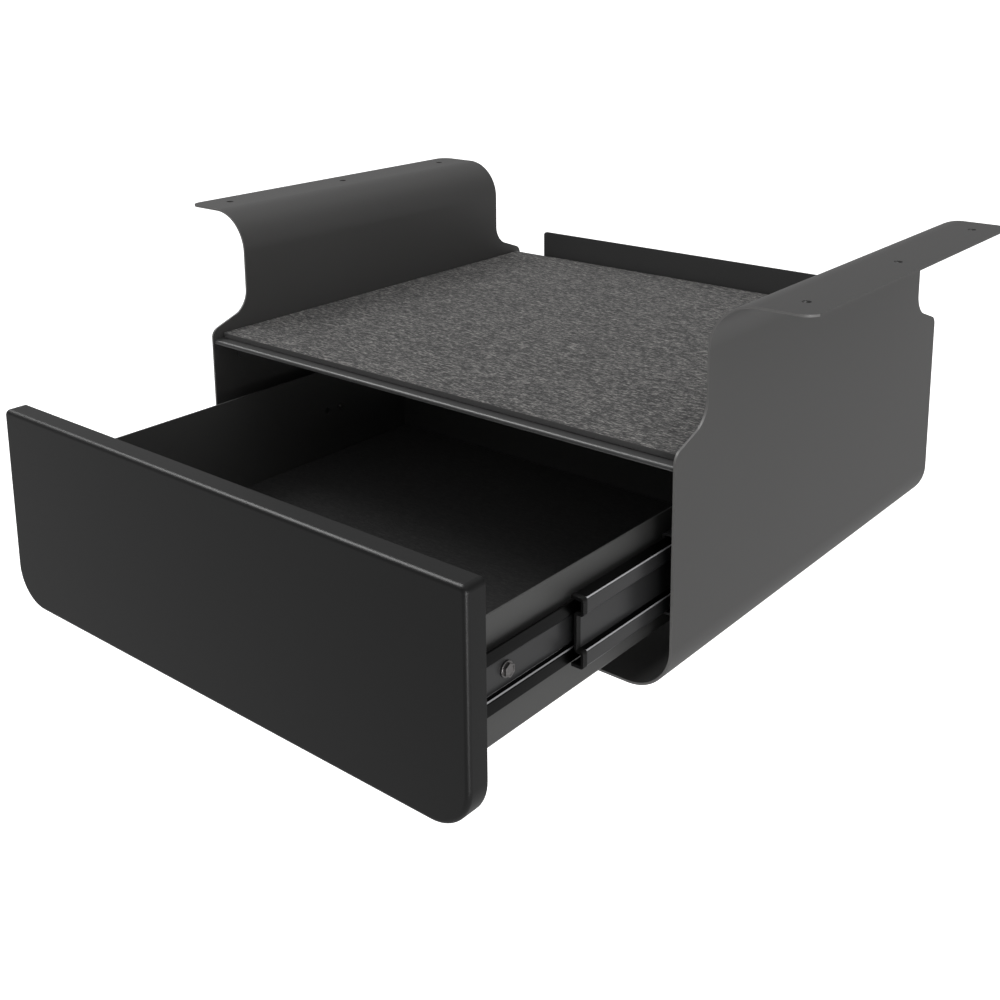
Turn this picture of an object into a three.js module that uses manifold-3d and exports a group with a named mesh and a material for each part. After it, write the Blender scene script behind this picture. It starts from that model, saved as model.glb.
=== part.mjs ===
// Under-desk drawer: two bent sheet side panels, a shelf with a felt mat, and a drawer on
// three-member ball-bearing slides. Millimetres, +Z up, the drawer pulls out along -Y.
// The origin is the middle of the mounting plane, on top of the two screw-on flanges.
import * as THREE from "three";
import * as BufferGeometryUtils from "three/addons/utils/BufferGeometryUtils.js";
import Module from "manifold-3d";

const wasm = await Module();
wasm.setup();

// ---------------------------------------------------------------- driving dimensions
// Housing
const HOUSING_WIDTH = 400; // outside the two side walls
const HOUSING_DEPTH = 358;
const HOUSING_HEIGHT = 230; // flange top to the lowest point of the curls
const PANEL_SHEET = 1.5;
const BEND_RADIUS = 30; // outside radius of both bends
const FLANGE_REACH = 62; // outward from the wall's outer face
const CURL_REACH = 70; // inward from the wall's outer face
const FLANGE_CORNER = 10;
const CURL_CORNER = 16;
const NOTCH_INSET = 33.5; // the upper part of a side is this much shorter at each end
const NOTCH_RISE = 31; // where the S curve starts, above the shelf
const NOTCH_UPPER_RADIUS = 17;
const NOTCH_LOWER_RADIUS = 7;
const NOTCH_TURN = THREE.MathUtils.degToRad(70);
const HOLES_PER_FLANGE = 3;
const HOLE_END_INSET = 25.5; // end hole's centre from the flange's end
const HOLE_RADIUS = 2.75;
const HOLE_INSET = 17.5; // hole centre from the flange's outer edge

// Shelf
const SHELF_SHEET = 1.5;
const SHELF_DROP = 89.5; // shelf's upper face below the flange top
const SHELF_SETBACK = 1; // behind the panels' front edges
const HEM_DEPTH = 11;
const HEM_GAP = 0.4;
const HEM_NOSE_FLAT = 0.02; // between the two quarter turns of the hem
const SHELF_SIDE_FLANGE = 19;
const SHELF_SIDE_FLANGE_SETBACK = 20;
const UPSTAND_HEIGHT = 25.5; // above the shelf's upper face
const UPSTAND_END_GAP = 30.5; // between an upstand end and the wall
const UPSTAND_CORNER = 3;
const SHELF_FELT_THICKNESS = 3.8;
const SHELF_FELT_SETBACK = 8.8;
const SHELF_FELT_CORNER = 1.5;
const FELT_EDGE_GAP = 0.8;

// Drawer
const REST_OPENING = 170; // how far the drawer stands open as modelled
const FRONT_THICKNESS = 14;
const FRONT_EDGE_RADIUS = 3;
const FRONT_SIDE_GAP = 2.5;
const FRONT_TOP_GAP = 1.9;
const FRONT_BOTTOM_GAP = 1.5;
const FRONT_TOP_CORNER = 4;
const TRAY_SHEET = 1.2;
const TRAY_BEND_RADIUS = 2.4;
const TRAY_HEIGHT = 74;
const TRAY_REAR_SPACE = 11.7; // to the housing's rear edge, drawer closed
const TRAY_DROP = 130; // tray's upper edge below the flange top
const LINER_THICKNESS = 3.3;
const LINER_CORNER = 3;
const TRAY_HOLE_RADIUS = 2.5;
const TRAY_HOLE_SETBACK = 241; // from the slide's front end
const FRONT_SCREW_SPREAD = 220;
const FRONT_SCREW_DROPS = [18, 54]; // below the tray's upper edge
const FRONT_SCREW_RADIUS = 2;
const FRONT_SCREW_HEAD_RADIUS = 4.2;
const FRONT_SCREW_HEAD_HEIGHT = 2.6;
const FRONT_SCREW_DEPTH = 9;
const FRONT_SCREW_SLOT_REACH = 2.2;
const FRONT_SCREW_SLOT_WIDTH = 1;
const FRONT_SCREW_SLOT_DEPTH = 1.2;

// Slides
const SLIDE_SPACE = 21.5; // between a wall's inner face and the tray
const SLIDE_DROP = 163.5; // slide's middle below the flange top
const SLIDE_SETBACK = 17;
const SLIDE_REAR_SPACE = 41; // to the housing's rear edge
const SLIDE_SHEET = 1.4;
const SLIDE_BEND_RADIUS = 1.8;
const LIP_TO_TRAY = 4.5; // between the cabinet member's lips and the tray
const CABINET_LIP = 3.3;
const MIDDLE_HEIGHT = 40.6;
const MIDDLE_SHORTER = 20; // than the other two members
const MIDDLE_SETBACK = 2; // behind the cabinet member's front end, drawer closed
const MIDDLE_STRIP = 8.7; // height of the raised strips over and under the web
const MIDDLE_RECESS = 4.4; // web behind the strips
const MIDDLE_FLANGE = 8;
const INNER_INSET = 2.9; // the drawer member's edges inside the middle member's
const INNER_STRIP = 7;
const INNER_STRIP_RAISE = 4.9; // strip's outer face from the web's inner face
const INNER_SETBACK = 1;
const OUTER_BALL = 3;
const INNER_BALL = 5;
const BALL_CLEARANCE = 0.2;
const BALLS_PER_ROW = 5;
const CAGE_LENGTH = 110;
const CAGE_CLOSED_SETBACK = 83; // from the slide's front end, drawer closed
const OUTER_CAGE_SHEET = 0.6;
const OUTER_CAGE_BEND = 0.8;
const INNER_CAGE_SHEET = 0.4;
const BUMPER_LENGTH = 3.5;
const BUMPER_SHEET = 2.2;
const REAR_STOP_LENGTH = 14;
const REAR_STOP_HEIGHT = 16;
const REAR_STOP_CORNER = 2;
const HEX_SCREW_FROM_FRONT = 31;
const HEX_SCREW_FROM_REAR = 45;
const HEX_SCREW_RADIUS = 2;
const HEX_HEAD_RADIUS = 4; // across the corners
const HEX_HEAD_HEIGHT = 2.6;
const HEX_FLANGE_RADIUS = 4.6;
const HEX_FLANGE_HEIGHT = 0.8;
const HEX_SCREW_BITE = 2; // how far the thread stands inside the tray
const CABINET_SCREWS_FROM_FRONT = [35, 131];
const CABINET_SCREW_FROM_REAR = 41;
const CABINET_SCREW_RADIUS = 2;
const CABINET_SCREW_HEAD_RADIUS = 3.8;
const CABINET_SCREW_HEAD_HEIGHT = 2;
const CABINET_SCREW_BITE = 0.9; // how far the thread enters the wall
const CABINET_SCREW_SOCKET_RADIUS = 1.6; // across the corners
const CABINET_SCREW_SOCKET_DEPTH = 1.2;

// Clearances
const SEAT_GAP = 0.3; // between pieces that touch
const SCREW_CLEARANCE = 0.35; // round a screw's shank
const OVERCUT = 5; // how far a cut runs past the piece

// Fineness of the round stretches
const BIG_BEND_STEPS = 10;
const SMALL_BEND_STEPS = 3;
const HEM_STEPS = 5;
const PLAN_CORNER_STEPS = 5;
const FRONT_CORNER_STEPS = 8;
const FRONT_EDGE_STEPS = 4;
const TINY_CORNER_STEPS = 2;
const ROUND_SEGMENTS = 16;
const BALL_SEGMENTS = 6;

// ---------------------------------------------------------------- worked-out places
const WALL_OUTER = HOUSING_WIDTH / 2;
const WALL_INNER = WALL_OUTER - PANEL_SHEET;
const HOUSING_FRONT = -HOUSING_DEPTH / 2;
const SHELF_TOP = -SHELF_DROP;
const NOTCH_DROP = SHELF_DROP - NOTCH_RISE;
const FLANGE_HALF_LENGTH = HOUSING_DEPTH / 2 - NOTCH_INSET;
const SHELF_HEM_BOTTOM = SHELF_TOP - 2 * SHELF_SHEET - HEM_GAP;
const FRONT_HALF_WIDTH = WALL_INNER - FRONT_SIDE_GAP;
const FRONT_TOP = SHELF_HEM_BOTTOM - FRONT_TOP_GAP;
const FRONT_BOTTOM = -HOUSING_HEIGHT + PANEL_SHEET + FRONT_BOTTOM_GAP;
const FRONT_LOW_CORNER = BEND_RADIUS - PANEL_SHEET - FRONT_SIDE_GAP;
const TRAY_HALF_WIDTH = WALL_INNER - SLIDE_SPACE;
const TRAY_TOP = -TRAY_DROP;
const TRAY_BOTTOM = TRAY_TOP - TRAY_HEIGHT;
const TRAY_LENGTH = HOUSING_DEPTH - FRONT_THICKNESS - SEAT_GAP - TRAY_REAR_SPACE;
const SLIDE_Z = -SLIDE_DROP;
const SLIDE_FRONT = HOUSING_FRONT + SLIDE_SETBACK;
const SLIDE_LENGTH = HOUSING_DEPTH - SLIDE_SETBACK - SLIDE_REAR_SPACE;
const MIDDLE_LENGTH = SLIDE_LENGTH - MIDDLE_SHORTER;
const INNER_HEIGHT = MIDDLE_HEIGHT - 2 * INNER_INSET;

// Slide sections: OUTER and INNER faces by their X on the right-hand side
const CABINET_WEB_OUTER = WALL_INNER - SEAT_GAP;
const CABINET_HALF_INNER = MIDDLE_HEIGHT / 2 + OUTER_BALL + 2 * BALL_CLEARANCE;
const CABINET_HALF_OUTER = CABINET_HALF_INNER + SLIDE_SHEET;
const CABINET_LIP_INNER = TRAY_HALF_WIDTH + LIP_TO_TRAY;
const INNER_WEB_INNER = TRAY_HALF_WIDTH + SEAT_GAP;
const INNER_WEB_OUTER = INNER_WEB_INNER + SLIDE_SHEET;
const INNER_STRIP_OUTER = INNER_WEB_INNER + INNER_STRIP_RAISE;
const MIDDLE_STRIP_INNER = INNER_STRIP_OUTER + INNER_BALL + 2 * BALL_CLEARANCE;
const MIDDLE_STRIP_OUTER = MIDDLE_STRIP_INNER + SLIDE_SHEET;
const MIDDLE_WEB_OUTER = MIDDLE_STRIP_OUTER - MIDDLE_RECESS;
const MIDDLE_WEB_INNER = MIDDLE_WEB_OUTER - SLIDE_SHEET;
const MIDDLE_STEP_Z = MIDDLE_HEIGHT / 2 - MIDDLE_STRIP; // the step's edge away from the middle
const INNER_STEP_Z = INNER_HEIGHT / 2 - INNER_STRIP;
const OUTER_BALL_X = MIDDLE_STRIP_OUTER - MIDDLE_FLANGE / 2;
const OUTER_BALL_Z = (MIDDLE_HEIGHT / 2 + CABINET_HALF_INNER) / 2;
const INNER_BALL_X = (INNER_STRIP_OUTER + MIDDLE_STRIP_INNER) / 2;
const INNER_BALL_Z = (MIDDLE_STEP_Z + MIDDLE_HEIGHT / 2 - SLIDE_SHEET) / 2;

// ---------------------------------------------------------------- shape helpers
function solidOf(geometry) {
  const bare = geometry.clone();
  bare.deleteAttribute("normal");
  bare.deleteAttribute("uv");
  const merged = BufferGeometryUtils.mergeVertices(bare, 1e-4);
  const mesh = new wasm.Mesh({
    numProp: 3,
    vertProperties: new Float32Array(merged.attributes.position.array),
    triVerts: new Uint32Array(merged.index.array),
  });
  return new wasm.Manifold(mesh);
}

function geometryOf(solid) {
  const mesh = solid.getMesh();
  const geometry = new THREE.BufferGeometry();
  geometry.setAttribute("position", new THREE.BufferAttribute(mesh.vertProperties, 3));
  geometry.setIndex(new THREE.BufferAttribute(mesh.triVerts, 1));
  const flat = geometry.toNonIndexed();
  flat.computeVertexNormals();
  return flat;
}

function mirrorX(geometry) {
  const mirrored = geometry.clone().scale(-1, 1, 1);
  const position = mirrored.attributes.position;
  const turned = new Float32Array(position.array.length);
  for (let corner = 0; corner < position.count; corner += 3) {
    [0, 2, 1].forEach((from, to) => {
      const source = (corner + from) * 3;
      turned.set(position.array.slice(source, source + 3), (corner + to) * 3);
    });
  }
  mirrored.setAttribute("position", new THREE.BufferAttribute(turned, 3));
  mirrored.computeVertexNormals();
  return mirrored;
}

// Corner points [a, b, radius]: a polyline whose corners are rounded by arcs.
function roundedPath(corners, steps) {
  const points = [];
  corners.forEach(([a, b, radius], place) => {
    const here = new THREE.Vector2(a, b);
    const isEnd = place === 0 || place === corners.length - 1;
    if (isEnd || !radius) {
      points.push(here);
      return;
    }
    const before = cornerPoint(corners[place - 1]);
    const after = cornerPoint(corners[place + 1]);
    points.push(...arcAt(before, here, after, radius, steps));
  });
  return points;
}

function cornerPoint([a, b]) {
  return new THREE.Vector2(a, b);
}

function arcAt(before, corner, after, radius, steps) {
  const toBefore = before.clone().sub(corner).normalize();
  const toAfter = after.clone().sub(corner).normalize();
  const halfAngle = Math.acos(THREE.MathUtils.clamp(toBefore.dot(toAfter), -1, 1)) / 2;
  const middle = toBefore.clone().add(toAfter).normalize();
  const centre = corner.clone().addScaledVector(middle, radius / Math.sin(halfAngle));
  const start = corner.clone().addScaledVector(toBefore, radius / Math.tan(halfAngle)).sub(centre);
  const turn = (Math.PI - 2 * halfAngle) * Math.sign(toAfter.cross(toBefore));
  return Array.from({ length: steps + 1 }, (_, step) => {
    const arm = start.clone().rotateAround(new THREE.Vector2(), (turn * step) / steps);
    return arm.add(centre);
  });
}

// The outline of a sheet of even thickness that follows a centre line.
function sheetShape(path, thickness) {
  const sides = [[], []];
  path.forEach((point, place) => {
    const before = path[Math.max(place - 1, 0)];
    const after = path[Math.min(place + 1, path.length - 1)];
    const into = (place === 0 ? after.clone().sub(point) : point.clone().sub(before)).normalize();
    const out = (place === path.length - 1 ? into.clone() : after.clone().sub(point)).normalize();
    const along = into.clone().add(out).normalize();
    const across = new THREE.Vector2(-along.y, along.x);
    const reach = thickness / 2 / Math.max(Math.abs(along.dot(out)), 0.2);
    sides[0].push(point.clone().addScaledVector(across, reach));
    sides[1].unshift(point.clone().addScaledVector(across, -reach));
  });
  return new THREE.Shape([...sides[0], ...sides[1]]);
}

// A closed outline with rounded corners, each given as [a, b, radius].
function roundedShape(corners, steps) {
  const points = corners.flatMap((corner, place) => {
    if (!corner[2]) {
      return [cornerPoint(corner)];
    }
    const before = cornerPoint(corners[(place + corners.length - 1) % corners.length]);
    const after = cornerPoint(corners[(place + 1) % corners.length]);
    return arcAt(before, cornerPoint(corner), after, corner[2], steps);
  });
  return new THREE.Shape(points);
}

function rectangle(left, low, right, high, radius = 0) {
  return [
    [left, low, radius],
    [right, low, radius],
    [right, high, radius],
    [left, high, radius],
  ];
}

const AXIS_X = new THREE.Vector3(1, 0, 0);
const AXIS_Y = new THREE.Vector3(0, 1, 0);
const AXIS_Z = new THREE.Vector3(0, 0, 1);

function extrude(shape, length) {
  return new THREE.ExtrudeGeometry(shape, { depth: length, bevelEnabled: false, steps: 1 });
}

// An outline in (X, Z) carried from one Y to a larger one.
function alongY(shape, from, to) {
  const basis = new THREE.Matrix4().makeBasis(AXIS_X, AXIS_Z, AXIS_Y.clone().negate());
  return extrude(shape, to - from).applyMatrix4(basis).translate(0, to, 0);
}

// An outline in (Y, Z) carried from one X to a larger one.
function alongX(shape, from, to) {
  const basis = new THREE.Matrix4().makeBasis(AXIS_Y, AXIS_Z, AXIS_X);
  return extrude(shape, to - from).applyMatrix4(basis).translate(from, 0, 0);
}

function alongZ(shape, from, to) {
  return extrude(shape, to - from).translate(0, 0, from);
}

function block(low, high) {
  const size = new THREE.Vector3(...high).sub(new THREE.Vector3(...low));
  const middle = new THREE.Vector3(...high).add(new THREE.Vector3(...low)).divideScalar(2);
  return new THREE.BoxGeometry(size.x, size.y, size.z).translate(middle.x, middle.y, middle.z);
}

// A round or many-sided bar from one end point to another along X or Y or Z.
function bar(radius, start, end, segments = ROUND_SEGMENTS) {
  const from = new THREE.Vector3(...start);
  const span = new THREE.Vector3(...end).sub(from);
  const turn = new THREE.Quaternion().setFromUnitVectors(AXIS_Y, span.clone().normalize());
  const middle = from.clone().addScaledVector(span, 0.5);
  const cylinder = new THREE.CylinderGeometry(radius, radius, span.length(), segments);
  return cylinder.applyQuaternion(turn).translate(middle.x, middle.y, middle.z);
}

function join(geometries) {
  return geometries.map(solidOf).reduce((whole, piece) => whole.add(piece));
}

function cutAway(solid, geometries) {
  return geometries.map(solidOf).reduce((rest, piece) => rest.subtract(piece), solid);
}

// ---------------------------------------------------------------- finishes
function finish(color, roughness, metalness) {
  return new THREE.MeshStandardMaterial({ color, roughness, metalness });
}

const finishes = {
  panel: () => finish(0x4a4a4c, 0.55, 0.35),
  shelf: () => finish(0x3c3c3e, 0.55, 0.35),
  felt: () => finish(0x5b5b5c, 0.95, 0),
  liner: () => finish(0x2a2a2b, 0.95, 0),
  front: () => finish(0x242425, 0.5, 0),
  tray: () => finish(0x39393b, 0.5, 0.35),
  slide: () => finish(0x2e2e30, 0.4, 0.6),
  cage: () => finish(0x1c1c1d, 0.5, 0.4),
  bumper: () => finish(0x121213, 0.6, 0),
  screw: () => finish(0x303033, 0.35, 0.8),
};

const drawerUnit = new THREE.Group();
drawerUnit.name = "under_desk_drawer";

function addPiece(name, geometry, finishName) {
  const mesh = new THREE.Mesh(geometry, finishes[finishName]());
  mesh.name = name;
  drawerUnit.add(mesh);
}

// Adds the right-hand piece and its mirror image on the left.
function addPair(name, geometry, finishName) {
  addPiece(`right_${name}`, geometry, finishName);
  addPiece(`left_${name}`, mirrorX(geometry), finishName);
}

// ---------------------------------------------------------------- housing
// One end of a panel's side outline, from the mounting plane to the bottom, in (Y, Z).
// end is -1 at the front and 1 at the rear.
function notchCurve(end) {
  const edge = (end * HOUSING_DEPTH) / 2;
  const radii = NOTCH_UPPER_RADIUS + NOTCH_LOWER_RADIUS;
  const turned = radii * (1 - Math.cos(NOTCH_TURN));
  const straight = (NOTCH_INSET - turned) / Math.sin(NOTCH_TURN);
  const points = [];
  for (let step = 0; step <= BIG_BEND_STEPS; step += 1) {
    const angle = (NOTCH_TURN * step) / BIG_BEND_STEPS;
    const inward = NOTCH_INSET - NOTCH_UPPER_RADIUS * (1 - Math.cos(angle));
    points.push([inward, -NOTCH_DROP - NOTCH_UPPER_RADIUS * Math.sin(angle)]);
  }
  const [lastInward, lastZ] = points[points.length - 1];
  const lowStartInward = lastInward - straight * Math.sin(NOTCH_TURN);
  const lowStartZ = lastZ - straight * Math.cos(NOTCH_TURN);
  for (let step = 0; step <= BIG_BEND_STEPS; step += 1) {
    const angle = NOTCH_TURN * (1 - step / BIG_BEND_STEPS);
    const rise = Math.sin(NOTCH_TURN) - Math.sin(angle);
    const run = Math.cos(angle) - Math.cos(NOTCH_TURN);
    const inward = lowStartInward - NOTCH_LOWER_RADIUS * run;
    points.push([inward, lowStartZ - NOTCH_LOWER_RADIUS * rise]);
  }
  return points.map(([inward, z]) => new THREE.Vector2(edge - end * inward, z));
}

function panelSideOutline() {
  const front = notchCurve(-1);
  const rear = notchCurve(1).reverse();
  return new THREE.Shape([
    new THREE.Vector2(-FLANGE_HALF_LENGTH, OVERCUT),
    ...front,
    new THREE.Vector2(-HOUSING_DEPTH / 2, -HOUSING_HEIGHT - OVERCUT),
    new THREE.Vector2(HOUSING_DEPTH / 2, -HOUSING_HEIGHT - OVERCUT),
    ...rear,
    new THREE.Vector2(FLANGE_HALF_LENGTH, OVERCUT),
  ]);
}

// The panel seen from above: rounded corners on the return flange and on the top flange.
function panelPlanOutline() {
  const half = HOUSING_DEPTH / 2;
  const upper = FLANGE_HALF_LENGTH;
  const curlEdge = WALL_OUTER - CURL_REACH;
  const flangeEdge = WALL_OUTER + FLANGE_REACH;
  const shoulder = WALL_OUTER + PANEL_SHEET;
  const corners = [
    [curlEdge, -half, CURL_CORNER],
    [shoulder, -half, 0],
    [shoulder, -upper, 0],
    [flangeEdge, -upper, FLANGE_CORNER],
    [flangeEdge, upper, FLANGE_CORNER],
    [shoulder, upper, 0],
    [shoulder, half, 0],
    [curlEdge, half, CURL_CORNER],
  ];
  return roundedShape(corners, PLAN_CORNER_STEPS);
}

function cabinetScrewPlaces() {
  const setbacks = [...CABINET_SCREWS_FROM_FRONT, SLIDE_LENGTH - CABINET_SCREW_FROM_REAR];
  return setbacks.map((setback) => SLIDE_FRONT + setback);
}

function sidePanel() {
  const centreRadius = BEND_RADIUS - PANEL_SHEET / 2;
  const wallMiddle = WALL_OUTER - PANEL_SHEET / 2;
  const topMiddle = -PANEL_SHEET / 2;
  const lowMiddle = -HOUSING_HEIGHT + PANEL_SHEET / 2;
  const path = roundedPath(
    [
      [WALL_OUTER + FLANGE_REACH, topMiddle, 0],
      [wallMiddle, topMiddle, centreRadius],
      [wallMiddle, lowMiddle, centreRadius],
      [WALL_OUTER - CURL_REACH, lowMiddle, 0],
    ],
    BIG_BEND_STEPS,
  );
  const section = sheetShape(path, PANEL_SHEET);
  const bent = solidOf(alongY(section, HOUSING_FRONT, -HOUSING_FRONT));
  const reach = WALL_OUTER + FLANGE_REACH;
  const trimmed = bent
    .intersect(solidOf(alongX(panelSideOutline(), 0, reach + OVERCUT)))
    .intersect(solidOf(alongZ(panelPlanOutline(), -HOUSING_HEIGHT - OVERCUT, OVERCUT)));
  const holeX = reach - HOLE_INSET;
  const holePitch = (2 * (FLANGE_HALF_LENGTH - HOLE_END_INSET)) / (HOLES_PER_FLANGE - 1);
  const holes = Array.from({ length: HOLES_PER_FLANGE }, (_, place) => {
    const y = (place - (HOLES_PER_FLANGE - 1) / 2) * holePitch;
    return bar(HOLE_RADIUS, [holeX, y, -PANEL_SHEET - OVERCUT], [holeX, y, OVERCUT]);
  });
  const sockets = cabinetScrewPlaces().map((y) => {
    const depth = WALL_INNER + CABINET_SCREW_BITE + SEAT_GAP;
    const radius = CABINET_SCREW_RADIUS + SCREW_CLEARANCE;
    return bar(radius, [WALL_INNER - OVERCUT, y, SLIDE_Z], [depth, y, SLIDE_Z]);
  });
  return geometryOf(cutAway(trimmed, [...holes, ...sockets]));
}

// Where the shelf starts to turn up into its rear upstand.
function shelfBendStart() {
  return -HOUSING_FRONT - SHELF_SETBACK - SHELF_SHEET * 3;
}

function shelfTray() {
  const half = WALL_INNER - SEAT_GAP;
  const front = HOUSING_FRONT + SHELF_SETBACK;
  const rear = -HOUSING_FRONT - SHELF_SETBACK;
  const plateMiddle = SHELF_TOP - SHELF_SHEET / 2;
  const hemMiddle = plateMiddle - SHELF_SHEET - HEM_GAP;
  const hemRadius = (plateMiddle - hemMiddle - HEM_NOSE_FLAT) / 2;
  const bendRadius = SHELF_SHEET * 1.5;
  const path = roundedPath(
    [
      [front + HEM_DEPTH, hemMiddle, 0],
      [front + SHELF_SHEET / 2, hemMiddle, hemRadius],
      [front + SHELF_SHEET / 2, plateMiddle, hemRadius],
      [rear - SHELF_SHEET / 2, plateMiddle, bendRadius],
      [rear - SHELF_SHEET / 2, SHELF_TOP + UPSTAND_HEIGHT, 0],
    ],
    HEM_STEPS,
  );
  const plate = solidOf(alongX(sheetShape(path, SHELF_SHEET), -half, half));
  const sideStart = front + SHELF_SIDE_FLANGE_SETBACK;
  const sideEnd = rear - SHELF_SIDE_FLANGE_SETBACK;
  const sideMiddle = half - SHELF_SHEET / 2;
  const sidePath = roundedPath(
    [
      [sideMiddle, SHELF_TOP - SHELF_SIDE_FLANGE, 0],
      [sideMiddle, plateMiddle, bendRadius],
      [half - SHELF_SIDE_FLANGE, plateMiddle, 0],
    ],
    SMALL_BEND_STEPS,
  );
  const side = alongY(sheetShape(sidePath, SHELF_SHEET), sideStart, sideEnd);
  const upstandReach = WALL_INNER - UPSTAND_END_GAP;
  const underShelf = SHELF_TOP - SHELF_SHEET - OVERCUT;
  const upstandOutline = roundedShape(
    [
      [-upstandReach, underShelf, 0],
      [upstandReach, underShelf, 0],
      [upstandReach, SHELF_TOP + UPSTAND_HEIGHT, UPSTAND_CORNER],
      [-upstandReach, SHELF_TOP + UPSTAND_HEIGHT, UPSTAND_CORNER],
    ],
    SMALL_BEND_STEPS,
  );
  const bendStart = shelfBendStart();
  const low = [-half - OVERCUT, bendStart, underShelf];
  const high = [half + OVERCUT, rear + OVERCUT, 0];
  const keep = solidOf(alongY(upstandOutline, bendStart - OVERCUT, rear + OVERCUT));
  const trimmed = plate.subtract(solidOf(block(low, high)).subtract(keep));
  const sides = solidOf(side).add(solidOf(mirrorX(side)));
  return geometryOf(trimmed.add(sides));
}

function shelfFeltMat() {
  const half = WALL_INNER - FELT_EDGE_GAP;
  const front = HOUSING_FRONT + SHELF_FELT_SETBACK;
  const rear = shelfBendStart() - SEAT_GAP;
  const low = SHELF_TOP + SEAT_GAP;
  const outline = rectangle(-half, front, half, rear, SHELF_FELT_CORNER);
  return alongZ(roundedShape(outline, TINY_CORNER_STEPS), low, low + SHELF_FELT_THICKNESS);
}

// ---------------------------------------------------------------- slides
function cabinetMember() {
  const webMiddle = CABINET_WEB_OUTER - SLIDE_SHEET / 2;
  const flangeMiddle = CABINET_HALF_INNER + SLIDE_SHEET / 2;
  const lipMiddle = CABINET_LIP_INNER + SLIDE_SHEET / 2;
  const lipEnd = CABINET_HALF_OUTER - CABINET_LIP;
  const path = roundedPath(
    [
      [lipMiddle, SLIDE_Z + lipEnd, 0],
      [lipMiddle, SLIDE_Z + flangeMiddle, SLIDE_BEND_RADIUS / 2],
      [webMiddle, SLIDE_Z + flangeMiddle, SLIDE_BEND_RADIUS],
      [webMiddle, SLIDE_Z - flangeMiddle, SLIDE_BEND_RADIUS],
      [lipMiddle, SLIDE_Z - flangeMiddle, SLIDE_BEND_RADIUS / 2],
      [lipMiddle, SLIDE_Z - lipEnd, 0],
    ],
    SMALL_BEND_STEPS,
  );
  const rail = alongY(sheetShape(path, SLIDE_SHEET), SLIDE_FRONT, SLIDE_FRONT + SLIDE_LENGTH);
  const holes = cabinetScrewPlaces().map((y) => {
    const radius = CABINET_SCREW_RADIUS + SCREW_CLEARANCE;
    return bar(radius, [webMiddle - OVERCUT, y, SLIDE_Z], [webMiddle + OVERCUT, y, SLIDE_Z]);
  });
  return geometryOf(cutAway(solidOf(rail), holes));
}

function cabinetScrew(y) {
  const seat = CABINET_WEB_OUTER - SLIDE_SHEET - SEAT_GAP;
  const face = seat - CABINET_SCREW_HEAD_HEIGHT;
  const tip = WALL_INNER + CABINET_SCREW_BITE;
  const socketEnd = face + CABINET_SCREW_SOCKET_DEPTH;
  const at = (x) => [x, y, SLIDE_Z];
  const head = bar(CABINET_SCREW_HEAD_RADIUS, at(face), at(seat));
  const shank = bar(CABINET_SCREW_RADIUS, at(face + CABINET_SCREW_HEAD_HEIGHT / 2), at(tip));
  const socket = bar(CABINET_SCREW_SOCKET_RADIUS, at(face - OVERCUT), at(socketEnd), 6);
  return geometryOf(cutAway(join([head, shank]), [socket]));
}

// The middle line of a member's section: a web with raised strips over and under it.
function steppedCorners(webMiddle, stripMiddle, stepZ, topZ, flangeEnd, bendRadius) {
  const half = [
    [webMiddle, stepZ],
    [stripMiddle, stepZ],
    [stripMiddle, topZ],
  ];
  if (flangeEnd !== null) {
    half.push([flangeEnd, topZ]);
  }
  const low = half.map(([x, z]) => [x, SLIDE_Z - z, bendRadius]).reverse();
  const high = half.map(([x, z]) => [x, SLIDE_Z + z, bendRadius]);
  return [...low, ...high];
}

function middleSection(thickness) {
  const half = SLIDE_SHEET / 2;
  const corners = steppedCorners(
    MIDDLE_WEB_OUTER - half,
    MIDDLE_STRIP_OUTER - half,
    MIDDLE_STEP_Z - half,
    MIDDLE_HEIGHT / 2 - half,
    MIDDLE_STRIP_OUTER - MIDDLE_FLANGE,
    Math.max(SLIDE_BEND_RADIUS / 2, thickness * 0.55),
  );
  return sheetShape(roundedPath(corners, SMALL_BEND_STEPS), thickness);
}

function middleFront() {
  return SLIDE_FRONT + MIDDLE_SETBACK - REST_OPENING / 2;
}

function middleMember() {
  const front = middleFront();
  return alongY(middleSection(SLIDE_SHEET), front, front + MIDDLE_LENGTH);
}

function middleBumper() {
  const front = middleFront() - SEAT_GAP;
  return alongY(middleSection(BUMPER_SHEET), front - BUMPER_LENGTH, front);
}

function innerFront() {
  return SLIDE_FRONT + INNER_SETBACK - REST_OPENING;
}

function hexScrewPlaces() {
  const setbacks = [HEX_SCREW_FROM_FRONT, SLIDE_LENGTH - HEX_SCREW_FROM_REAR];
  return setbacks.map((setback) => innerFront() + setback);
}

function innerMember() {
  const half = SLIDE_SHEET / 2;
  const corners = steppedCorners(
    INNER_WEB_INNER + half,
    INNER_STRIP_OUTER - half,
    INNER_STEP_Z - half,
    INNER_HEIGHT / 2,
    null,
    SLIDE_BEND_RADIUS / 2,
  );
  const section = sheetShape(roundedPath(corners, SMALL_BEND_STEPS), SLIDE_SHEET);
  const rail = alongY(section, innerFront(), innerFront() + SLIDE_LENGTH);
  const holes = hexScrewPlaces().map((y) => {
    const radius = HEX_SCREW_RADIUS + SCREW_CLEARANCE;
    const from = [INNER_WEB_INNER - OVERCUT, y, SLIDE_Z];
    return bar(radius, from, [INNER_WEB_OUTER + OVERCUT, y, SLIDE_Z]);
  });
  return geometryOf(cutAway(solidOf(rail), holes));
}

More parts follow.
